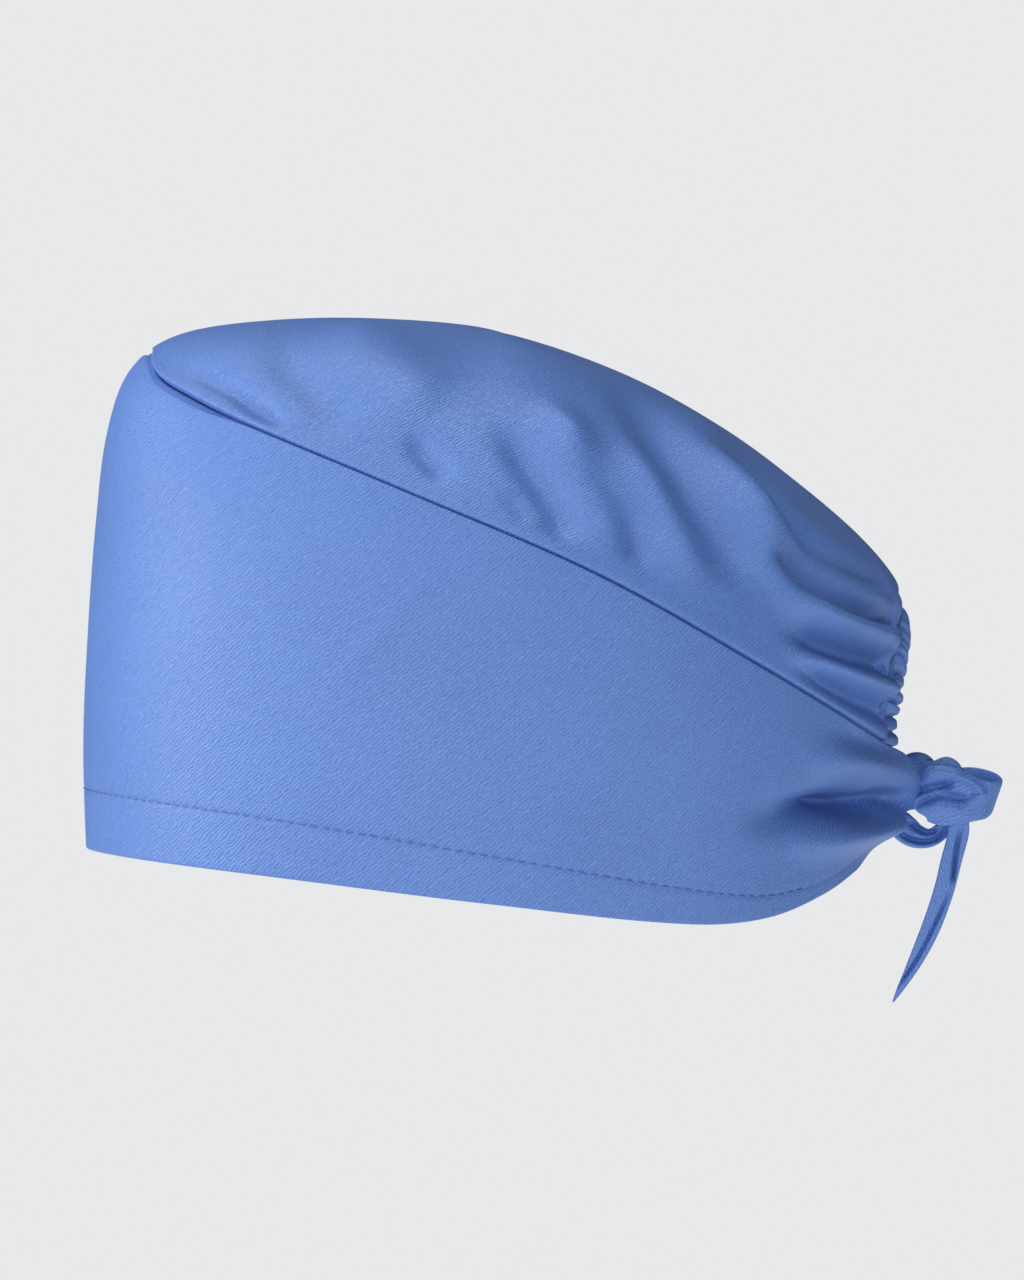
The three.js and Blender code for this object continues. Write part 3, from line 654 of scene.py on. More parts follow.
def new_grid(name, points, closed=False, cloth_places=None):
    """A grid primitive laid on the given points, as columns of rows, with a UV map in metres. A closed one
    has its meeting edges merged."""
    columns, rows = points.shape[:2]
    bpy.ops.object.select_all(action="DESELECT")
    bpy.ops.mesh.primitive_grid_add(
        x_subdivisions=rows - 1, y_subdivisions=columns - 1, size=1, calc_uvs=True
    )
    piece = bpy.context.object
    piece.name = name
    piece.data.name = name
    if cloth_places is None:
        around = np.linalg.norm(np.diff(points, axis=0), axis=-1)
        along = np.linalg.norm(np.diff(points, axis=1), axis=-1)
        u = np.concatenate([[0], np.cumsum(np.median(around, axis=1))])
        v = np.concatenate([np.zeros((columns, 1)), np.cumsum(along, axis=1)], axis=1)
        cloth_places = np.stack([np.broadcast_to(u[:, None], v.shape), v], axis=-1)
    piece.data.vertices.foreach_set("co", points.reshape(-1, 3).ravel())
    loops = np.empty(len(piece.data.loops), int)
    piece.data.loops.foreach_get("vertex_index", loops)
    flat = cloth_places.reshape(-1, 2)
    piece.data.uv_layers[0].data.foreach_set("uv", flat[loops].ravel())
    piece.data.update()
    bpy.ops.object.mode_set(mode="EDIT")
    bpy.ops.mesh.select_all(action="SELECT")
    if closed:
        bpy.ops.mesh.remove_doubles(threshold=2e-6)
    bpy.ops.object.mode_set(mode="OBJECT")
    bpy.ops.object.shade_smooth()
    return piece


def thicken(piece, thickness):
    """Gives a sheet its thickness, inwards."""
    wall = piece.modifiers.new("cloth", "SOLIDIFY")
    wall.thickness = thickness
    wall.offset = -1
    wall.use_even_offset = False
    bpy.context.view_layer.objects.active = piece
    bpy.ops.object.modifier_apply(modifier=wall.name)


def finish_piece(piece, material, nodes):
    """Dresses a piece and says what it rides on and stands for."""
    piece.data.materials.clear()
    piece.data.materials.append(material)
    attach(piece, "root")
    if nodes:
        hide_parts(*nodes)


def weave_group():
    """The twill's weave as a shader node group: ribs, slubs and soft cloudy wear, from a UV map in metres."""
    name = "Twill Weave"
    if name in bpy.data.node_groups:
        return bpy.data.node_groups[name]
    group = bpy.data.node_groups.new(name, "ShaderNodeTree")
    group.interface.new_socket("Cloth Place", in_out="INPUT", socket_type="NodeSocketVector")
    group.interface.new_socket("Rib Spacing", in_out="INPUT", socket_type="NodeSocketFloat")
    group.interface.new_socket("Thread Shade", in_out="OUTPUT", socket_type="NodeSocketFloat")
    group.interface.new_socket("Height", in_out="OUTPUT", socket_type="NodeSocketFloat")
    nodes = group.nodes
    links = group.links
    inputs = nodes.new("NodeGroupInput")
    outputs = nodes.new("NodeGroupOutput")

    def maths(kind, a, b=None, c=None):
        node = nodes.new("ShaderNodeMath")
        node.operation = kind
        for socket, value in zip(node.inputs, (a, b, c)):
            if value is None:
                continue
            if isinstance(value, (int, float)):
                socket.default_value = value
            else:
                links.new(value, socket)
        return node.outputs[0]

    def noise(kind):
        scale, detail, rough = WEAVE_NOISES[kind]
        mapping = nodes.new("ShaderNodeMapping")
        mapping.inputs["Scale"].default_value = scale
        links.new(inputs.outputs["Cloth Place"], mapping.inputs["Vector"])
        texture = nodes.new("ShaderNodeTexNoise")
        texture.noise_dimensions = "2D"
        texture.inputs["Scale"].default_value = 1.0
        texture.inputs["Detail"].default_value = detail
        texture.inputs["Roughness"].default_value = rough
        links.new(mapping.outputs["Vector"], texture.inputs["Vector"])
        return texture.outputs["Fac"]

    split = nodes.new("ShaderNodeSeparateXYZ")
    links.new(inputs.outputs["Cloth Place"], split.inputs[0])
    across = split.outputs["X"]
    up = split.outputs["Y"]
    wander = maths("MULTIPLY", maths("SUBTRACT", noise("wander"), 0.5), RIB_WANDER)
    slope = maths("ADD", maths("MULTIPLY", across, RIB_ACROSS), maths("MULTIPLY", up, RIB_UP))
    diagonal = maths("ADD", slope, wander)
    rib_turn = maths("MULTIPLY", maths("DIVIDE", diagonal, inputs.outputs["Rib Spacing"]), 2 * HALF_TURN)
    rib = maths("MULTIPLY", maths("SINE", rib_turn), maths("MULTIPLY_ADD", noise("fading"), 1.6, -0.1))
    rib = maths("MULTIPLY_ADD", rib, 0.5, 0.5)
    threads = maths("ADD", maths("MULTIPLY", noise("warp"), 0.5), maths("MULTIPLY", noise("weft"), 0.35))
    threads = maths("ADD", threads, maths("MULTIPLY", noise("grain"), 0.5))
    fine = maths("ADD", maths("MULTIPLY", rib, 0.75), threads)
    shade = maths("ADD", maths("MULTIPLY", fine, 0.75), maths("MULTIPLY", noise("cloud"), 0.2))
    links.new(shade, outputs.inputs["Thread Shade"])
    links.new(fine, outputs.inputs["Height"])
    return group


def twill(name, cloth, blue, deep_blue, bump=0.5):
    """A blue cotton twill."""
    if name in bpy.data.materials:
        return bpy.data.materials[name]
    material = bpy.data.materials.new(name)
    material.use_nodes = True
    nodes = material.node_tree.nodes
    links = material.node_tree.links
    shader = nodes["Principled BSDF"]
    shader.inputs["Sheen Weight"].default_value = cloth.sheen
    shader.inputs["Sheen Roughness"].default_value = 0.45
    shader.inputs["Specular IOR Level"].default_value = 0.6
    shader.inputs["Specular Tint"].default_value = (*SHINE, 1)
    place = nodes.new("ShaderNodeUVMap")
    place.uv_map = "UVMap"
    weave = nodes.new("ShaderNodeGroup")
    weave.node_tree = weave_group()
    weave.inputs["Rib Spacing"].default_value = cloth.thread_spacing
    links.new(place.outputs["UV"], weave.inputs["Cloth Place"])
    spread = nodes.new("ShaderNodeMapRange")
    spread.inputs["From Min"].default_value = SHADE_RANGE[0]
    spread.inputs["From Max"].default_value = SHADE_RANGE[1]
    links.new(weave.outputs["Thread Shade"], spread.inputs["Value"])
    colours = nodes.new("ShaderNodeMix")
    colours.data_type = "RGBA"
    colours.inputs["A"].default_value = (*deep_blue, 1)
    colours.inputs["B"].default_value = (*blue, 1)
    links.new(spread.outputs["Result"], colours.inputs["Factor"])
    links.new(colours.outputs["Result"], shader.inputs["Base Color"])
    roughness = nodes.new("ShaderNodeMapRange")
    roughness.inputs["To Min"].default_value = cloth.roughness + 0.1
    roughness.inputs["To Max"].default_value = cloth.roughness - 0.08
    links.new(weave.outputs["Thread Shade"], roughness.inputs["Value"])
    links.new(roughness.outputs["Result"], shader.inputs["Roughness"])
    relief = nodes.new("ShaderNodeBump")
    relief.inputs["Strength"].default_value = bump
    relief.inputs["Distance"].default_value = RELIEF_DEPTH
    links.new(weave.outputs["Height"], relief.inputs["Height"])
    links.new(relief.outputs["Normal"], shader.inputs["Normal"])
    return material


def settings(context):
    """The cap's sizes, its trim and its cloth."""
    scene = context.scene
    return scene.cap_shape, scene.cap_trim, scene.cap_cloth


class MESH_OT_cap_band(bpy.types.Operator):
    """Makes the side band: one strip with its seam allowance, its turned-up hem and its gathered rear ends"""

    bl_idname = "mesh.cap_band"
    bl_label = "Side Band"

    def execute(self, context):
        shape, trim, cloth = settings(context)
        form = WornForm(shape, trim)
        to_foot = np.linspace(0, form.foot_angle, BAND_COLUMNS_TO_ARCH)
        to_end = np.linspace(form.foot_angle, float(form.band_end[0]), BAND_COLUMNS_TO_KNOT)[1:]
        left = np.concatenate([to_foot, to_end])
        angles = np.concatenate([-left[:0:-1], left])
        top = form.level_where(angles, form.band_top)
        top_height = form.plain(angles, top)[:, 2]
        stitch_height = form.plain(angles, form.level_where(angles, form.stitch))[:, 2]
        hem_height = form.plain(angles, form.level_where(angles, form.hem))[:, 2]
        along = form.share_along(form.plain(angles, top)[:, 1])
        groove = follow(SEAM_ROLL, "along", "depth", along) * MM
        roll = follow(SEAM_ROLL, "along", "band_width", along)
        level_out = 0 * groove
        rows = []
        for drop in np.linspace(ALLOWANCE, ALLOWANCE_EDGE, 5):
            height = top_height - np.minimum(drop, 0.3 * (top_height - hem_height))
            rows.append((height, BAND_ALLOWANCE_OUT + level_out))
        for drop in BAND_EDGE_DROPS:
            rows.append((top_height - drop * MM, -groove * np.exp(-((drop / roll) ** 2))))
        upper = rows[-1][0]
        lower = stitch_height + 2.2 * MM
        for share in np.linspace(0, 1, BAND_ROWS)[1:]:
            rows.append((mix(upper, lower, share), level_out))
        narrowing = np.minimum(1, (stitch_height - hem_height) / (4 * MM))
        for rise in STITCH_RISES:
            dip = STITCH_DIP * math.exp(-((rise / STITCH_DIP_WIDTH) ** 2))
            rows.append((stitch_height + rise * MM * narrowing, level_out - dip))
        below_stitch = rows[-1][0]
        fold_height = hem_height + HEM_RADIUS
        for share in np.linspace(0, 1, 14)[1:]:
            rows.append((mix(below_stitch, fold_height, share), level_out))
        for turn in np.linspace(0, HALF_TURN, 7)[1:]:
            inwards = (math.cos(turn) - 1) * HEM_RADIUS
            rows.append((fold_height - HEM_RADIUS * math.sin(turn), inwards + level_out))
        for share in np.linspace(0, 1, 10)[1:]:
            inwards = -2 * HEM_RADIUS + 0.3 * MM * share**6
            rows.append((mix(fold_height, stitch_height + 1.5 * MM, share), inwards + level_out))
        heights = np.stack([row[0] for row in rows], axis=1)
        outs = np.stack([row[1] for row in rows], axis=1)
        levels = levels_at(form, angles, heights)
        grid = form.cloth(angles[:, None], levels, outs, BAND_FOLDS)
        around = np.linalg.norm(np.diff(grid[:, BAND_UV_ROW], axis=0), axis=-1)
        along_band = np.concatenate([[0], np.cumsum(around)])
        cloth_places = np.stack([np.broadcast_to(along_band[:, None], heights.shape), -heights], axis=-1)
        band = new_grid("band", grid, cloth_places=cloth_places)
        face_out(band, grid)
        thicken(band, cloth.thickness)
        finish_piece(band, twill("Band Twill", cloth, cloth.blue, cloth.deep_blue), ["side_band"])
        return {"FINISHED"}


def levels_at(form, angles, heights):
    """The level of each height, column by column."""
    dense = np.linspace(0, 0.9, 361)
    rise = form.plain(angles[:, None], dense[None, :])[..., 2]
    return np.stack([np.interp(h, r, dense) for h, r in zip(heights, rise)])


def face_out(piece, grid):
    """Turns a folded sheet's faces out, judged by one of its outside faces."""
    column = grid.shape[0] // 4
    row = grid.shape[1] // 2
    across = grid[column + 1, row] - grid[column, row]
    down = grid[column, row + 1] - grid[column, row]
    outward = grid[column, row] - HEAD_MIDDLE
    mesh = piece.data
    centres = np.empty(len(mesh.polygons) * 3)
    mesh.polygons.foreach_get("center", centres)
    here = grid[column, row] + (across + down) / 2
    nearest = int(np.argmin(np.linalg.norm(centres.reshape(-1, 3) - here, axis=1)))
    if np.dot(mesh.polygons[nearest].normal, outward) < 0:
        bpy.ops.object.mode_set(mode="EDIT")
        bpy.ops.mesh.select_all(action="SELECT")
        bpy.ops.mesh.flip_normals()
        bpy.ops.object.mode_set(mode="OBJECT")


def squared(wave, power):
    """A wave made squarer by a power below 1."""
    return np.sign(wave) * np.abs(wave) ** power


def ruffle_turn(turn, count):
    """The ruffles' phase along the arch, a little uneven as gathers are."""
    return turn * count + 0.5 * np.sin(turn * 5.3 + 0.4) + 0.35 * np.sin(turn * 11.9 + 2.0)


class MESH_OT_cap_crown(bpy.types.Operator):
    """Makes the crown: the top panel with its rolled seam edge, front tuck, folds and gathers"""

    bl_idname = "mesh.cap_crown"
    bl_label = "Crown"

    def execute(self, context):
        shape, trim, cloth = settings(context)
        form = WornForm(shape, trim)
        seam_angles = np.linspace(0, form.foot_angle, CROWN_SEAM_COLUMNS)
        seam_levels = form.level_where(seam_angles, form.seam)
        turns = np.linspace(0, QUARTER_TURN, CROWN_ARCH_COLUMNS)[1:]
        arch_angles, arch_levels = form.place_on_arch(turns, np.zeros_like(turns))
        angle = np.concatenate([seam_angles, arch_angles])
        level = np.concatenate([seam_levels, arch_levels])
        seam_tops = seam_angles / form.foot_angle * SEAM_TOP_SHARE
        arch_tops = mix(SEAM_TOP_SHARE, 1, turns / QUARTER_TURN)
        top = np.concatenate([seam_tops, arch_tops]) * HALF_TURN
        turn = np.concatenate([np.zeros_like(seam_angles), turns])
        flip = slice(-2, 0, -1)
        angle = np.concatenate([angle, -angle[flip], angle[:1]])
        level = np.concatenate([level, level[flip], level[:1]])
        top = np.concatenate([top, -top[flip], top[:1]])
        turn = np.concatenate([turn, np.where(turn[flip] > 0, HALF_TURN - turn[flip], 0), turn[:1]])
        start = form.plain(angle, level)
        edge = np.array(CROWN_EDGE_STEPS) * MM / CROWN_REACH
        inner = np.linspace(0, 1, CROWN_ROWS)[1:]
        steps = np.concatenate([edge, mix(edge[-1], 1.0, inner**1.25)])
        share = np.broadcast_to(steps, (len(angle), len(steps)))
        levels = mix(level[:, None], 1.0, share)
        angles = mix(angle[:, None], top[:, None], smoothstep(share, 0, 0.8))
        distance = share * CROWN_REACH
        along = form.share_along(start[:, 1])
        depth = follow(SEAM_ROLL, "along", "depth", along)[:, None] * MM
        width = follow(SEAM_ROLL, "along", "width", along)[:, None] * MM
        aside = smoothstep(np.abs(start[:, 0]), 6 * MM, 28 * MM)
        lip = (follow(SEAM_ROLL, "along", "lip", along) * aside)[:, None] * MM
        lip_place = distance / (2 * MM)
        roll = lip * lip_place * np.exp(1 - lip_place) - depth * np.exp(-((distance / width) ** 1.4))
        on_arch = smoothstep(np.sin(turn), 0.0, 0.12)[:, None]
        phase = ruffle_turn(turn, trim.ruffle_count)[:, None] - RUFFLE_SLANT / 2
        puff = (np.abs(np.sin(phase)) ** 0.7 - 0.45) * np.exp(-distance / PUFF[1])
        swell = np.sin(phase * 0.5 + 1.0) * np.exp(-distance / SWELL[1]) * (1 - np.exp(-distance / (3 * MM)))
        dive = np.exp(-((distance / DIVE[1]) ** 2))
        gather = on_arch * (PUFF[0] * puff + SWELL[0] * swell - DIVE[0] * dive)
        allowance_drops = np.array(CROWN_ALLOWANCE_DROPS) * MM
        below = level[:, None] - allowance_drops / (BAND_HEIGHTS_PER_LEVEL * shape.band_front_height)
        levels = np.concatenate([below, levels], axis=1)
        angles = np.concatenate([np.broadcast_to(angle[:, None], below.shape), angles], axis=1)
        out = np.concatenate([np.full(below.shape, CROWN_ALLOWANCE_OUT), roll + gather], axis=1)
        from_edge = np.concatenate([np.zeros(below.shape), distance], axis=1)
        ridge_share = 1 - on_arch * (1 - smoothstep(from_edge, *RIDGE_FADE))
        valley_share = 1 - on_arch * VALLEY_LOSS * (1 - smoothstep(from_edge, *VALLEY_FADE))
        grid = form.cloth(angles, levels, out, CROWN_FOLDS, ridge_share, valley_share)
        beside = grid[..., 0] / shape.half_width
        above = (grid[..., 2] - CROWN_TURN_HEIGHT) / CROWN_TURN_RISE
        cloth_places = np.stack([grid[..., 1], CROWN_TURN_RADIUS * np.arctan2(beside, above)], axis=-1)
        crown = new_grid("crown_panel", grid, closed=True, cloth_places=cloth_places)
        face_out(crown, grid)
        thicken(crown, cloth.thickness)
        finish_piece(crown, twill("Crown Twill", cloth, cloth.blue, cloth.deep_blue), ["crown"])
        return {"FINISHED"}


class MESH_OT_cap_casing(bpy.types.Operator):
    """Makes the elastic casing: a flat tube of cloth, ruffled along the arch over the nape"""

    bl_idname = "mesh.cap_casing"
    bl_label = "Elastic Casing"

    def execute(self, context):
        shape, trim, cloth = settings(context)
        form = WornForm(shape, trim)
        turns = np.linspace(0, HALF_TURN, trim.ruffle_count * CASING_SECTIONS_PER_RUFFLE + 1)
        around = np.linspace(0, 2 * HALF_TURN, CASING_SIDES)
        wide = -np.cos(around)
        high = squared(np.sin(around), 0.8)
        slant = RUFFLE_SLANT / 2 * wide[None, :]
        wave = np.abs(np.sin(ruffle_turn(turns, trim.ruffle_count)[:, None] + slant))
        puff = 1 - (1 - wave) ** 2
        uneven = 0.84 + 0.16 * np.sin(turns * 17.0 + 1.0)[:, None]
        half_wide = 0.5 * trim.casing_width * (0.88 + 0.12 * puff) * uneven
        half_high = 0.5 * trim.casing_thickness + trim.ruffle_depth * (puff - 0.6) * uneven
        half_high = np.maximum(half_high, 0.25 * MM)
        inset = CASING_INSET + 0.5 * trim.casing_width + half_wide * wide
        place = form.place_on_arch(np.broadcast_to(turns[:, None], inset.shape), inset)
        out = half_high * high + CASING_OUT
        grid = form.cloth(*place, out, CROWN_FOLDS, ridge_share=0.0, valley_share=CASING_VALLEY_SHARE)
        middle = grid.mean(axis=1, keepdims=True)
        grid = np.concatenate([middle[:1] + 0 * grid[:1], grid, middle[-1:] + 0 * grid[-1:]], axis=0)
        casing = new_grid("casing", grid, closed=True)
        orient(casing)
        finish_piece(casing, twill("Casing Twill", cloth, cloth.blue, cloth.deep_blue), ["elastic_casing"])
        return {"FINISHED"}


def orient(piece):
    """Points a closed piece's faces outwards."""
    bpy.ops.object.mode_set(mode="EDIT")
    bpy.ops.mesh.select_all(action="SELECT")
    bpy.ops.mesh.normals_make_consistent(inside=False)
    bpy.ops.object.mode_set(mode="OBJECT")


def smooth_path(points, samples):
    """A smooth curve through points, at even steps of its rows, with its directions."""
    rows = np.linspace(0, 1, len(points))
    steps = np.linspace(0, 1, samples)
    columns = {"row": rows, "x": points[:, 0], "y": points[:, 1], "z": points[:, 2]}
    path = np.stack([follow(columns, "row", name, steps) for name in "xyz"], axis=-1)
    return steps, path, unit(np.gradient(path, axis=0))


def sweep_tie(name, points, rows, size, face_up, detail):
    """A tie as a flat band swept along its path. Size is its width and thickness, face_up gives the way its
    width points at each place, and detail is its samples along the path and round it."""
    broad_unit, thick_unit = size
    samples, sides = detail
    steps, path, tangent = smooth_path(points, samples)
    columns = {"row": np.linspace(0, 1, len(points)), "broad": rows["broad"], "thick": rows["thick"]}
    broad = follow(columns, "row", "broad", steps) * broad_unit / 2
    thick = follow(columns, "row", "thick", steps) * thick_unit / 2
    facing = face_up(path)
    facing = unit(facing - (facing * tangent).sum(axis=1, keepdims=True) * tangent)
    thick_way = np.cross(tangent, facing)
    around = np.linspace(0, 2 * HALF_TURN, sides + 1)
    width = squared(np.cos(around), 0.7)
    depth = squared(np.sin(around), 0.55)
    grid = (
        path[:, None]
        + (broad[:, None] * width)[..., None] * facing[:, None]
        + (thick[:, None] * depth)[..., None] * thick_way[:, None]
    )
    ends = np.concatenate([path[:1, None] + 0 * grid[:1], grid, path[-1:, None] + 0 * grid[-1:]], axis=0)
    piece = new_grid(name, ends, closed=True)
    orient(piece)
    return piece


def crease(piece, form, trim, creases, deep):
    """Presses creases into a tie's near side, fully from a depth on. Each runs through points back and up."""
    count = len(piece.data.vertices)
    points = np.empty(count * 3)
    piece.data.vertices.foreach_get("co", points)
    points = points.reshape(-1, 3)
    scale = np.array([trim.loop_length, trim.tie_width])
    start = np.array([form.knot_start, form.shape.knot_height])
    lift = np.zeros(count)
    for _, path, spread, depth in creases:
        corners = start + np.array(path) * scale
        lift += depth * MM * crease_shape(points[:, 1:3], corners, spread * MM)
    points[:, 0] += lift * smoothstep(points[:, 0], 0, deep)
    piece.data.vertices.foreach_set("co", points.ravel())
    piece.data.update()


def knot_points(form, trim, rows):
    """The middle line of a knotted stretch of tie."""
    return np.stack(
        [
            rows["side"] * trim.knot_half_width,
            form.knot_start + rows["back"] * trim.loop_length,
            form.shape.knot_height + rows["up"] * trim.tie_width,
        ],
        axis=-1,
    )


class MESH_OT_cap_ties(bpy.types.Operator):
    """Makes the ties: the left one's loop and hanging tail, and the right one that the loop is tied round"""

    bl_idname = "mesh.cap_ties"
    bl_label = "Ties"

    def execute(self, context):
        shape, trim, cloth = settings(context)
        form = WornForm(shape, trim)
        blue = twill("Tie Twill", cloth, cloth.blue, cloth.deep_blue, 0.25)
        tie_size = (trim.tie_width, trim.tie_thickness)
        rows = np.linspace(0, 1, len(LOOP_ROWS["lean"]))

        def upright(path):
            lean = np.interp(np.linspace(0, 1, len(path)), rows, LOOP_ROWS["lean"])
            return np.stack([np.zeros(len(path)), lean, np.ones(len(path))], axis=-1)

        def lengthways(path):
            return np.broadcast_to(np.array([0.0, 1.0, 0.0]), path.shape)

        def outward(path):
            return (path - middle) * np.array([0.0, 1.0, 1.0])

        loop_points = knot_points(form, trim, LOOP_ROWS)
        loop = sweep_tie("tie_loop", loop_points, LOOP_ROWS, tie_size, upright, LOOP_SAMPLES)
        crease(loop, form, trim, LOOP_CREASES, 3 * MM)
        finish_piece(loop, blue, ["tie_left"])
        tail_root = form.knot_start + TAIL_ROOT_BACK * trim.loop_length
        tail_points = np.stack(
            [
                TAIL_ROWS["side"] * trim.knot_half_width,
                tail_root - TAIL_ROWS["sweep"] * trim.tail_sweep,
                shape.knot_height - TAIL_ROWS["drop"] * trim.tail_drop,
            ],
            axis=-1,
        )
        tail_size = (trim.tail_width, trim.tie_thickness)
        tail = sweep_tie("tie_tail", tail_points, TAIL_ROWS, tail_size, lengthways, TAIL_SAMPLES)
        crease(tail, form, trim, TAIL_CREASES, 2 * MM)
        finish_piece(tail, blue, ["tie_left"])
        middle_back = form.knot_start + RING_MIDDLE_BACK * trim.loop_length
        middle = np.array([0, middle_back, shape.knot_height + RING_MIDDLE_UP * trim.tie_width])
        ring_points = knot_points(form, trim, RING_ROWS)
        ring = sweep_tie("tie_ring", ring_points, RING_ROWS, tie_size, outward, RING_SAMPLES)
        crease(ring, form, trim, RING_CREASES, 3 * MM)
        finish_piece(ring, blue, ["tie_right"])
        return {"FINISHED"}


def between(run, values, place):
    """The value at a place along a line, between its samples."""
    return np.array([np.interp(place, run, values[:, axis]) for axis in range(3)])


class MESH_OT_cap_stitching(bpy.types.Operator):
    """Makes the hem's topstitch, a row of thread dashes"""

    bl_idname = "mesh.cap_stitching"
    bl_label = "Topstitch"

    def execute(self, context):
        shape, trim, cloth = settings(context)
        form = WornForm(shape, trim)
        angles = np.linspace(-form.foot_angle, form.foot_angle, STITCH_LINE_SAMPLES)
        levels = form.level_where(angles, form.stitch)
        seen = form.share_along(form.plain(angles, levels)[:, 1]) < STITCH_END
        angles = angles[seen]
        levels = levels[seen]
        line = form.cloth(angles, levels, np.full(angles.shape, 0.03 * MM), BAND_FOLDS)
        outward = form.normal(angles, levels)
        run = np.concatenate([[0], np.cumsum(np.linalg.norm(np.diff(line, axis=0), axis=1))])
        count = int(run[-1] / trim.stitch_pitch)
        bpy.ops.object.select_all(action="DESELECT")
        bpy.ops.mesh.primitive_uv_sphere_add(segments=8, ring_count=6, radius=0.5)
        thread = bpy.context.object
        ball = np.empty(len(thread.data.vertices) * 3)
        thread.data.vertices.foreach_get("co", ball)
        ball = ball.reshape(-1, 3)
        faces = [tuple(face.vertices) for face in thread.data.polygons]
        places = (np.arange(count) + 0.5) * trim.stitch_pitch
        vertices = []
        all_faces = []
        for place in places:
            before = between(run, line, place - 0.4 * MM)
            after = between(run, line, place + 0.4 * MM)
            centre = (before + after) / 2
            way = unit(after - before)
            out = between(run, outward, place)
            out = unit(out - (out @ way) * way)
            side = np.cross(way, out)
            base = len(vertices) * len(ball)
            vertices.append(
                centre
                + ball[:, 2:3] * trim.stitch_length * way
                + ball[:, 0:1] * trim.thread_width * side
                + ball[:, 1:2] * trim.thread_width * 0.7 * out
            )
            all_faces.extend(tuple(base + i for i in face) for face in faces)
        mesh = bpy.data.meshes.new("hem_topstitch")
        mesh.from_pydata(np.concatenate(vertices).tolist(), [], all_faces)
        mesh.validate()
        old = thread.data
        thread.data = mesh
        bpy.data.meshes.remove(old)
        thread.name = "hem_topstitch"
        mesh.uv_layers.new(name="UVMap")
        bpy.ops.object.shade_smooth()
        orient(thread)
        # The thread's darker blue is painted shade along the dashes, not a thread of another colour.
        finish_piece(thread, twill("Topstitch Thread", cloth, cloth.thread_shade_blue, cloth.thread_shade_blue, 0.1), [])
        return {"FINISHED"}


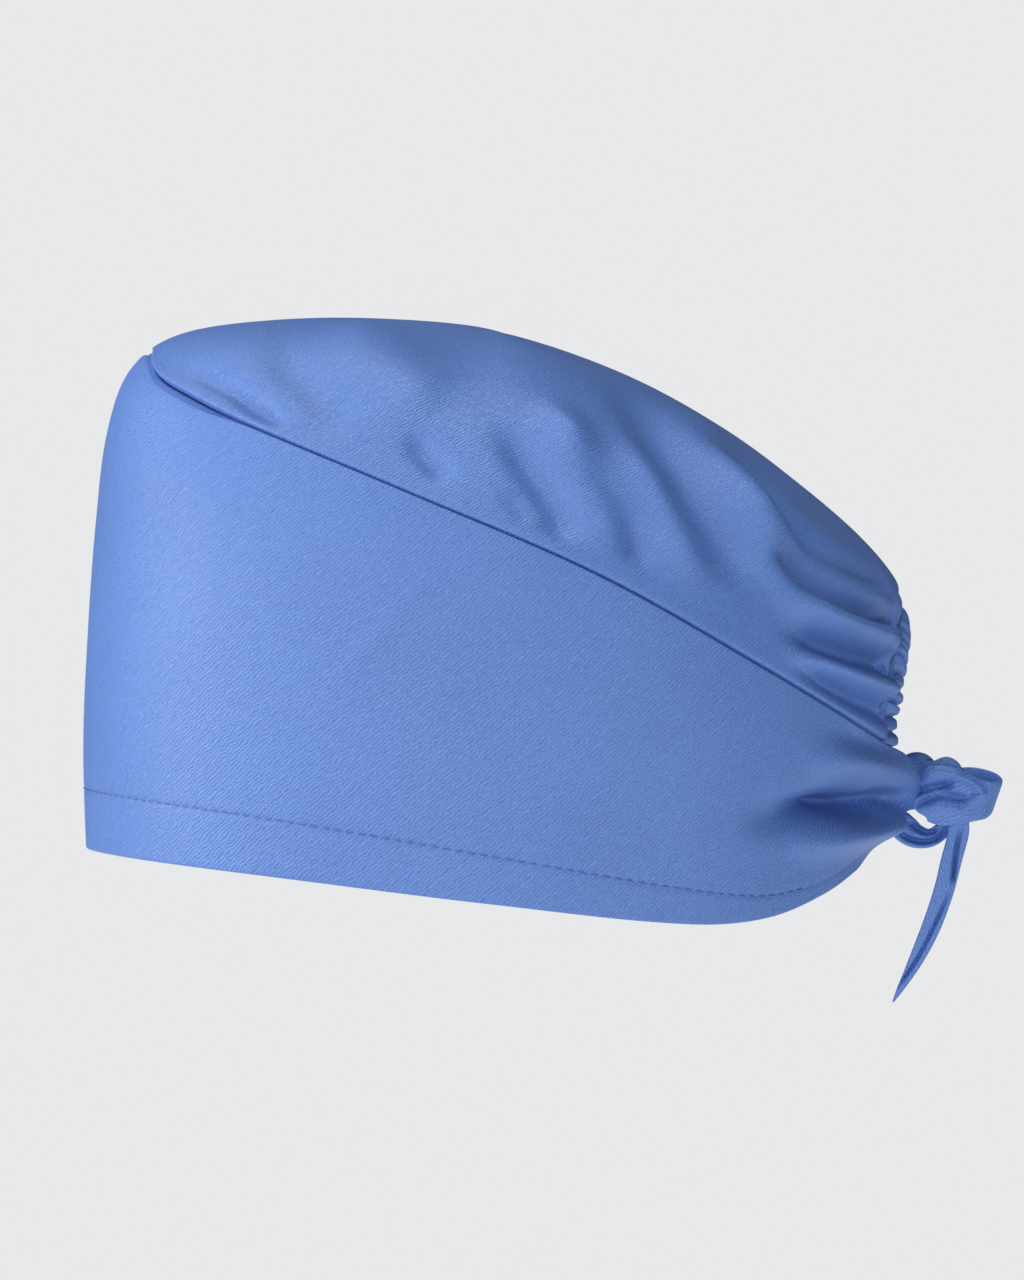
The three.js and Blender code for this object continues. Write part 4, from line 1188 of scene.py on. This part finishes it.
class SCENE_OT_cap_studio(bpy.types.Operator):
    """Sets up the glowing floor, the pale backdrop, the soft lights and the camera"""

    bl_idname = "scene.cap_studio"
    bl_label = "Studio"

    def execute(self, context):
        studio = context.scene.cap_studio
        bpy.ops.object.select_all(action="DESELECT")
        low = (0, 0, -studio.floor_depth)
        bpy.ops.mesh.primitive_circle_add(vertices=96, radius=FLOOR_RADIUS, fill_type="NGON", location=low)
        floor = bpy.context.object
        floor.name = "studio_floor"
        paint = bpy.data.materials.new("Studio Paint")
        paint.use_nodes = True
        shader = paint.node_tree.nodes["Principled BSDF"]
        shader.inputs["Base Color"].default_value = (0, 0, 0, 1)
        shader.inputs["Roughness"].default_value = 0.9
        shader.inputs["Specular IOR Level"].default_value = 0.0
        shader.inputs["Emission Color"].default_value = (*studio.backdrop, 1)
        shader.inputs["Emission Strength"].default_value = 1.0
        floor.data.materials.append(paint)
        world = bpy.data.worlds.new("Studio World")
        context.scene.world = world
        world.use_nodes = True
        nodes = world.node_tree.nodes
        background = nodes["Background"]
        background.inputs["Color"].default_value = (*studio.backdrop, 1)
        seen = nodes.new("ShaderNodeLightPath")
        strength = nodes.new("ShaderNodeMapRange")
        strength.inputs["To Min"].default_value = studio.sky_strength
        strength.inputs["To Max"].default_value = 1.0
        world.node_tree.links.new(seen.outputs["Is Camera Ray"], strength.inputs["Value"])
        world.node_tree.links.new(strength.outputs["Result"], background.inputs["Strength"])
        for name, around, above, power in LIGHTS:
            around = math.radians(around)
            above = math.radians(above)
            level_way = math.cos(above)
            way = Vector((math.cos(around) * level_way, -math.sin(around) * level_way, math.sin(above)))
            place = LIGHT_TARGET + way * studio.light_distance
            bpy.ops.object.light_add(type="AREA", location=place)
            light = bpy.context.object
            light.name = name
            light.data.size = LIGHT_SIZE
            light.data.energy = power
            light.rotation_euler = (-way).to_track_quat("-Z", "Y").to_euler()
        place = Vector((studio.camera_distance, studio.aim_along, studio.aim_up))
        bpy.ops.object.camera_add(location=place, rotation=(QUARTER_TURN, 0, QUARTER_TURN))
        camera = bpy.context.object
        camera.name = "photo_camera"
        camera.data.sensor_width = SENSOR_WIDTH
        camera.data.lens = SENSOR_WIDTH * studio.camera_distance / studio.view_height
        context.scene.camera = camera
        context.scene.view_settings.view_transform = "Standard"
        return {"FINISHED"}


class VIEW3D_PT_scrub_cap(bpy.types.Panel):
    """Lists the cap's makers in the sidebar"""

    bl_label = "Scrub Cap"
    bl_idname = "VIEW3D_PT_scrub_cap"
    bl_space_type = "VIEW_3D"
    bl_region_type = "UI"
    bl_category = "Scrub Cap"

    def draw(self, context):
        for operator in OPERATORS:
            self.layout.operator(operator.bl_idname)


OPERATORS = (
    SCENE_OT_cap_studio,
    MESH_OT_cap_band,
    MESH_OT_cap_crown,
    MESH_OT_cap_casing,
    MESH_OT_cap_ties,
    MESH_OT_cap_stitching,
)
GROUPS = {"cap_shape": CapShape, "cap_trim": CapTrim, "cap_cloth": CapCloth, "cap_studio": CapStudio}


def register():
    for group in GROUPS.values():
        bpy.utils.register_class(group)
    for name, group in GROUPS.items():
        setattr(bpy.types.Scene, name, PointerProperty(type=group))
    for operator in OPERATORS:
        bpy.utils.register_class(operator)
    bpy.utils.register_class(VIEW3D_PT_scrub_cap)


def unregister():
    bpy.utils.unregister_class(VIEW3D_PT_scrub_cap)
    for operator in reversed(OPERATORS):
        bpy.utils.unregister_class(operator)
    for name in GROUPS:
        delattr(bpy.types.Scene, name)
    for group in reversed(GROUPS.values()):
        bpy.utils.unregister_class(group)


def main():
    register()
    bpy.ops.scene.cap_studio()
    bpy.ops.mesh.cap_band()
    bpy.ops.mesh.cap_crown()
    bpy.ops.mesh.cap_casing()
    bpy.ops.mesh.cap_ties()
    bpy.ops.mesh.cap_stitching()


if __name__ == "__main__":
    main()
